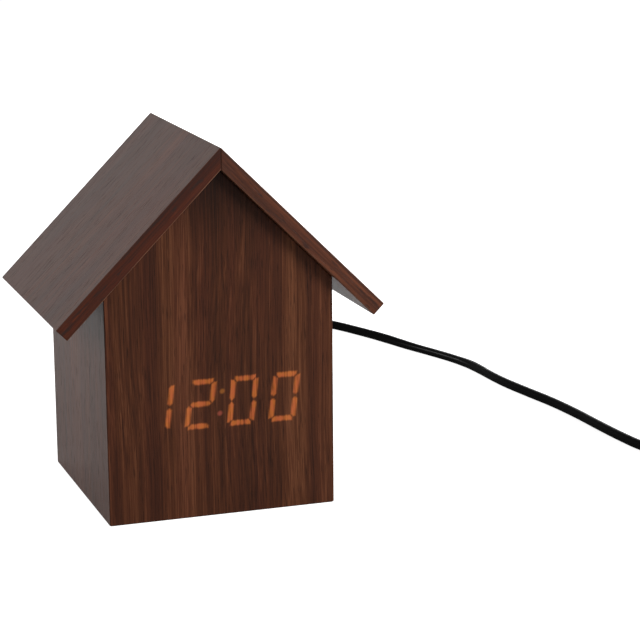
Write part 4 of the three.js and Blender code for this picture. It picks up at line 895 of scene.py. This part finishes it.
def usb_shell():
    """Satin pressed steel, with the two square holes that such a shell has on each side, painted dark
    as painted shade.
    """
    tree = Tree("usb_shell", metallic=1.0, specular=0.1)
    centre = middle("usb_plug_shell")
    x, y, z = tree.split(tree.place)
    from_middle = tree.math("ABSOLUTE", tree.math("SUBTRACT", x, centre.x))
    across = tree.math("ABSOLUTE", tree.math("SUBTRACT", from_middle, USB_HOLE_OFF))
    along = tree.math("ABSOLUTE", tree.math("SUBTRACT", y, centre.y))
    hole = tree.math("SUBTRACT", tree.math("MAXIMUM", across, along), USB_HOLE)
    hole = tree.spread(hole, USB_HOLE_BLUR, -USB_HOLE_BLUR, smooth=True)
    hole = tree.math("MULTIPLY", hole, tree.math("GREATER_THAN", tree.facing(2), 0.9))
    seam = tree.spread(from_middle, *USB_SEAM)
    seam = tree.math("MULTIPLY", seam, tree.math("LESS_THAN", z, centre.z))
    # Painted shade: the square holes are painted near black for the dark inside them; the seam is a
    # dark joint
    dark = tree.math("MAXIMUM", hole, tree.math("MULTIPLY", seam, 0.6))
    brush = tree.noise(tree.place, (5200, 260, 5200))
    tint = tree.ramp(brush, [(0.3, (112, 111, 108)), (0.7, (134, 133, 130))])
    colour = tree.mix(dark, tint, tone((22, 22, 22)))
    gloss = tree.around(brush, 0.64, 0.12)
    relief = tree.math("MULTIPLY_ADD", dark, -1.0, tree.math("MULTIPLY", brush, 0.04))
    relief = tree.bump(relief, 0.3 * MM, 0.8)
    metal = tree.math("SUBTRACT", 1.0, dark)
    return tree.set(Base_Color=colour, Roughness=gloss, Metallic=metal, Normal=relief)


MATERIALS = {
    "front": front_veneer(),
    "veneer": veneer("side_veneer", 9.0, specular=0.13).material,
    "base": veneer("base_veneer", 13.0, turn=(0, math.pi / 2, 0)).material,
    "roof_left": roof_veneer("roof_veneer_left", -1),
    "roof_right": roof_veneer("roof_veneer_right", 1),
    "raw": raw_board(),
    "moulding": moulded("black_moulding", MOULDING_TONE, 0.5, **MOULDING_GRAIN),
    "housing": printed_housing(),
    "strap": strap_cloth(),
    "switch": moulded("switch_plastic", (26, 26, 26), 0.58, size=1800, specular=0.25),
    "flex": flex("black_flex", (1, 1, 1), (4, 4, 4), 0.02),
    "grip": flex("black_grip", (9, 9, 9), (15, 15, 15), 0.16),
    "amber": amber_lens(),
    "circuit": circuit(),
    "nylon": moulded("cream_nylon", (214, 206, 184), 0.5, size=1500),
    "ribbon": ribbon(),
    "red": moulded("red_wire", (158, 30, 26), 0.42, size=3000, depth=0.01 * MM),
    "cell": cell_jacket(),
    "steel": plated("steel", (168, 168, 166), 0.34),
    "dark_steel": plated("dark_steel", (52, 51, 50), 0.42),
    "nickel": plated("nickel", (176, 174, 168), 0.24, cells=(400, 400, 2600)),
    "usb": usb_shell(),
}

# Which material each CAD node takes, and how wide its edges are rounded, in millimetres
FINISHES = [
    (("front_panel",), "front", 0.4),
    (("left_wall", "right_wall", "rear_panel"), "veneer", 0.4),
    (("base_board",), "base", 0.5),
    (("roof_board_left",), "roof_left", 0.4),
    (("roof_board_right",), "roof_right", 0.4),
    (("left_batten", "right_batten"), "raw", 0.3),
    (("control_housing",), "housing", 0.3),
    (("battery_door",), "moulding", 0.25),
    (("display_mask", "controller_chip"), "moulding", 0.15),
    (("up_button", "down_button", "set_button", "alarm_switch_knob"), "moulding", 0.2),
    (("buzzer", "dc_socket"), "switch", 0.2),
    (("up_switch", "down_switch", "set_switch"), "switch", 0.15),
    (("dc_plug_grip", "dc_plug_strain_relief"), "grip", 0.25),
    (("usb_plug_grip",), "grip", 0.7),
    (("negative_wire",), "flex", 0.05),
    (("positive_wire",), "red", 0.05),
    (("digit_lens_1", "digit_lens_2", "digit_lens_3", "digit_lens_4", "colon_lens"), "amber", 0.1),
    (("display_board", "control_board"), "circuit", 0.1),
    (("display_connector", "control_connector", "usb_plug_tongue"), "nylon", 0.15),
    (("ribbon_cable",), "ribbon", 0.1),
    (("battery_1", "battery_2", "battery_3"), "cell", 0.35),
    (("alarm_switch_body", "link_contact_lower", "link_contact_upper"), "steel", 0.1),
    (("negative_contact", "positive_contact"), "steel", 0.1),
    (("panel_screw_1", "panel_screw_2", "panel_screw_3", "panel_screw_4"), "dark_steel", 0.12),
    (("board_screw_1", "board_screw_2", "housing_screw_1", "housing_screw_2"), "dark_steel", 0.12),
    (("dc_socket_pin", "dc_plug_barrel"), "nickel", 0.08),
    (("usb_plug_shell",), "usb", 0.12),
]
# Points closer than this are welded and faces within this angle joined, and then the edges
# that turn by more than this are rounded
WELD = 0.005 * MM
FLAT_WITHIN = math.radians(1)
EDGE_FROM = math.radians(32)
EDGE_SEGMENTS = 3


def dress(name, key, edge):
    """Give a CAD node its material, and round its edges by so many millimetres."""
    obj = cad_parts[name]
    for place in obj.material_slots:
        place.material = MATERIALS[key]
    obj.data.polygons.foreach_set("use_smooth", [True] * len(obj.data.polygons))
    weld = obj.modifiers.new("weld", "WELD")
    weld.merge_threshold = WELD
    flat = obj.modifiers.new("flat", "DECIMATE")
    flat.decimate_type = "DISSOLVE"
    flat.angle_limit = FLAT_WITHIN
    bevel = obj.modifiers.new("edges", "BEVEL")
    bevel.width = edge * MM
    bevel.segments = EDGE_SEGMENTS
    bevel.limit_method = "ANGLE"
    bevel.angle_limit = EDGE_FROM
    bevel.use_clamp_overlap = True
    normals = obj.modifiers.new("normals", "WEIGHTED_NORMAL")
    normals.weight = 100


for names, key, edge in FINISHES:
    for name in names:
        dress(name, key, edge)

CORD.data.materials.append(MATERIALS["flex"])
STRAP.data.materials.append(MATERIALS["strap"])


# Floor, pure white to the camera but for the object's faint shadow
FLOOR_REACH = 8.0
FLOOR_GREY = (0.55, 0.55, 0.55, 1)
# Light that the floor adds for the camera, and in what mirrors it
FLOOR_LIFT = 0.93
FLOOR_MIRRORED = 0.4
# Strength of the world's even light
WORLD_LIGHT = 0.11
WHITE = (1, 1, 1, 1)

# Lamps: name, place, width and height, power. All face the middle of the case.
LAMP_TARGET = (0, 0, 0.06)
LAMPS = [
    ("key", (1.15, -1.15, 0.80), (0.9, 0.85), 34),
    ("fill", (-1.5, -0.15, 0.8), (1.0, 1.0), 13),
    ("back", (0.8, 1.3, 0.7), (1.0, 1.0), 24),
]


def make_floor():
    reach = FLOOR_REACH
    corners = [(-reach, -reach, 0), (reach, -reach, 0), (reach, reach, 0), (-reach, reach, 0)]
    floor = mesh_object("floor", corners, [(0, 1, 2, 3)])
    material = bpy.data.materials.new("floor_white")
    graph = Graph(material)
    ray = graph.add("ShaderNodeLightPath").outputs
    mirrored = graph.math("MAXIMUM", ray["Is Glossy Ray"], ray["Is Transmission Ray"])
    mirrored = graph.math("MULTIPLY", mirrored, FLOOR_MIRRORED)
    lift = graph.math("MULTIPLY_ADD", ray["Is Camera Ray"], FLOOR_LIFT, mirrored)
    paper = graph.add("ShaderNodeBsdfDiffuse", FLOOR_GREY)
    glow = graph.add("ShaderNodeEmission", WHITE, lift)
    both = graph.add("ShaderNodeAddShader", paper.outputs[0], glow.outputs[0])
    graph.add("ShaderNodeOutputMaterial", both.outputs[0])
    floor.data.materials.append(material)


def make_world():
    """Plain white to the camera and in mirrors, and a faint even light on everything."""
    world = bpy.data.worlds.new("studio")
    bpy.context.scene.world = world
    graph = Graph(world)
    ray = graph.add("ShaderNodeLightPath").outputs
    seen = graph.math("MAXIMUM", ray["Is Camera Ray"], ray["Is Glossy Ray"])
    seen = graph.math("MAXIMUM", seen, ray["Is Transmission Ray"])
    light = graph.add("ShaderNodeBackground", WHITE, WORLD_LIGHT)
    backdrop = graph.add("ShaderNodeBackground", WHITE, 1.0)
    both = graph.add("ShaderNodeMixShader", seen, light.outputs[0], backdrop.outputs[0])
    graph.add("ShaderNodeOutputWorld", both.outputs[0])


def make_lamp(name, place, size, power):
    data = bpy.data.lights.new(name, "AREA")
    data.shape = "RECTANGLE"
    data.size, data.size_y = size
    data.energy = power
    lamp = bpy.data.objects.new(name, data)
    lamp.location = place
    lamp.rotation_euler = (Vector(LAMP_TARGET) - Vector(place)).to_track_quat("-Z", "Y").to_euler()
    bpy.context.scene.collection.objects.link(lamp)


make_floor()
make_world()
for lamp in LAMPS:
    make_lamp(*lamp)

bpy.context.scene.view_settings.view_transform = "Standard"
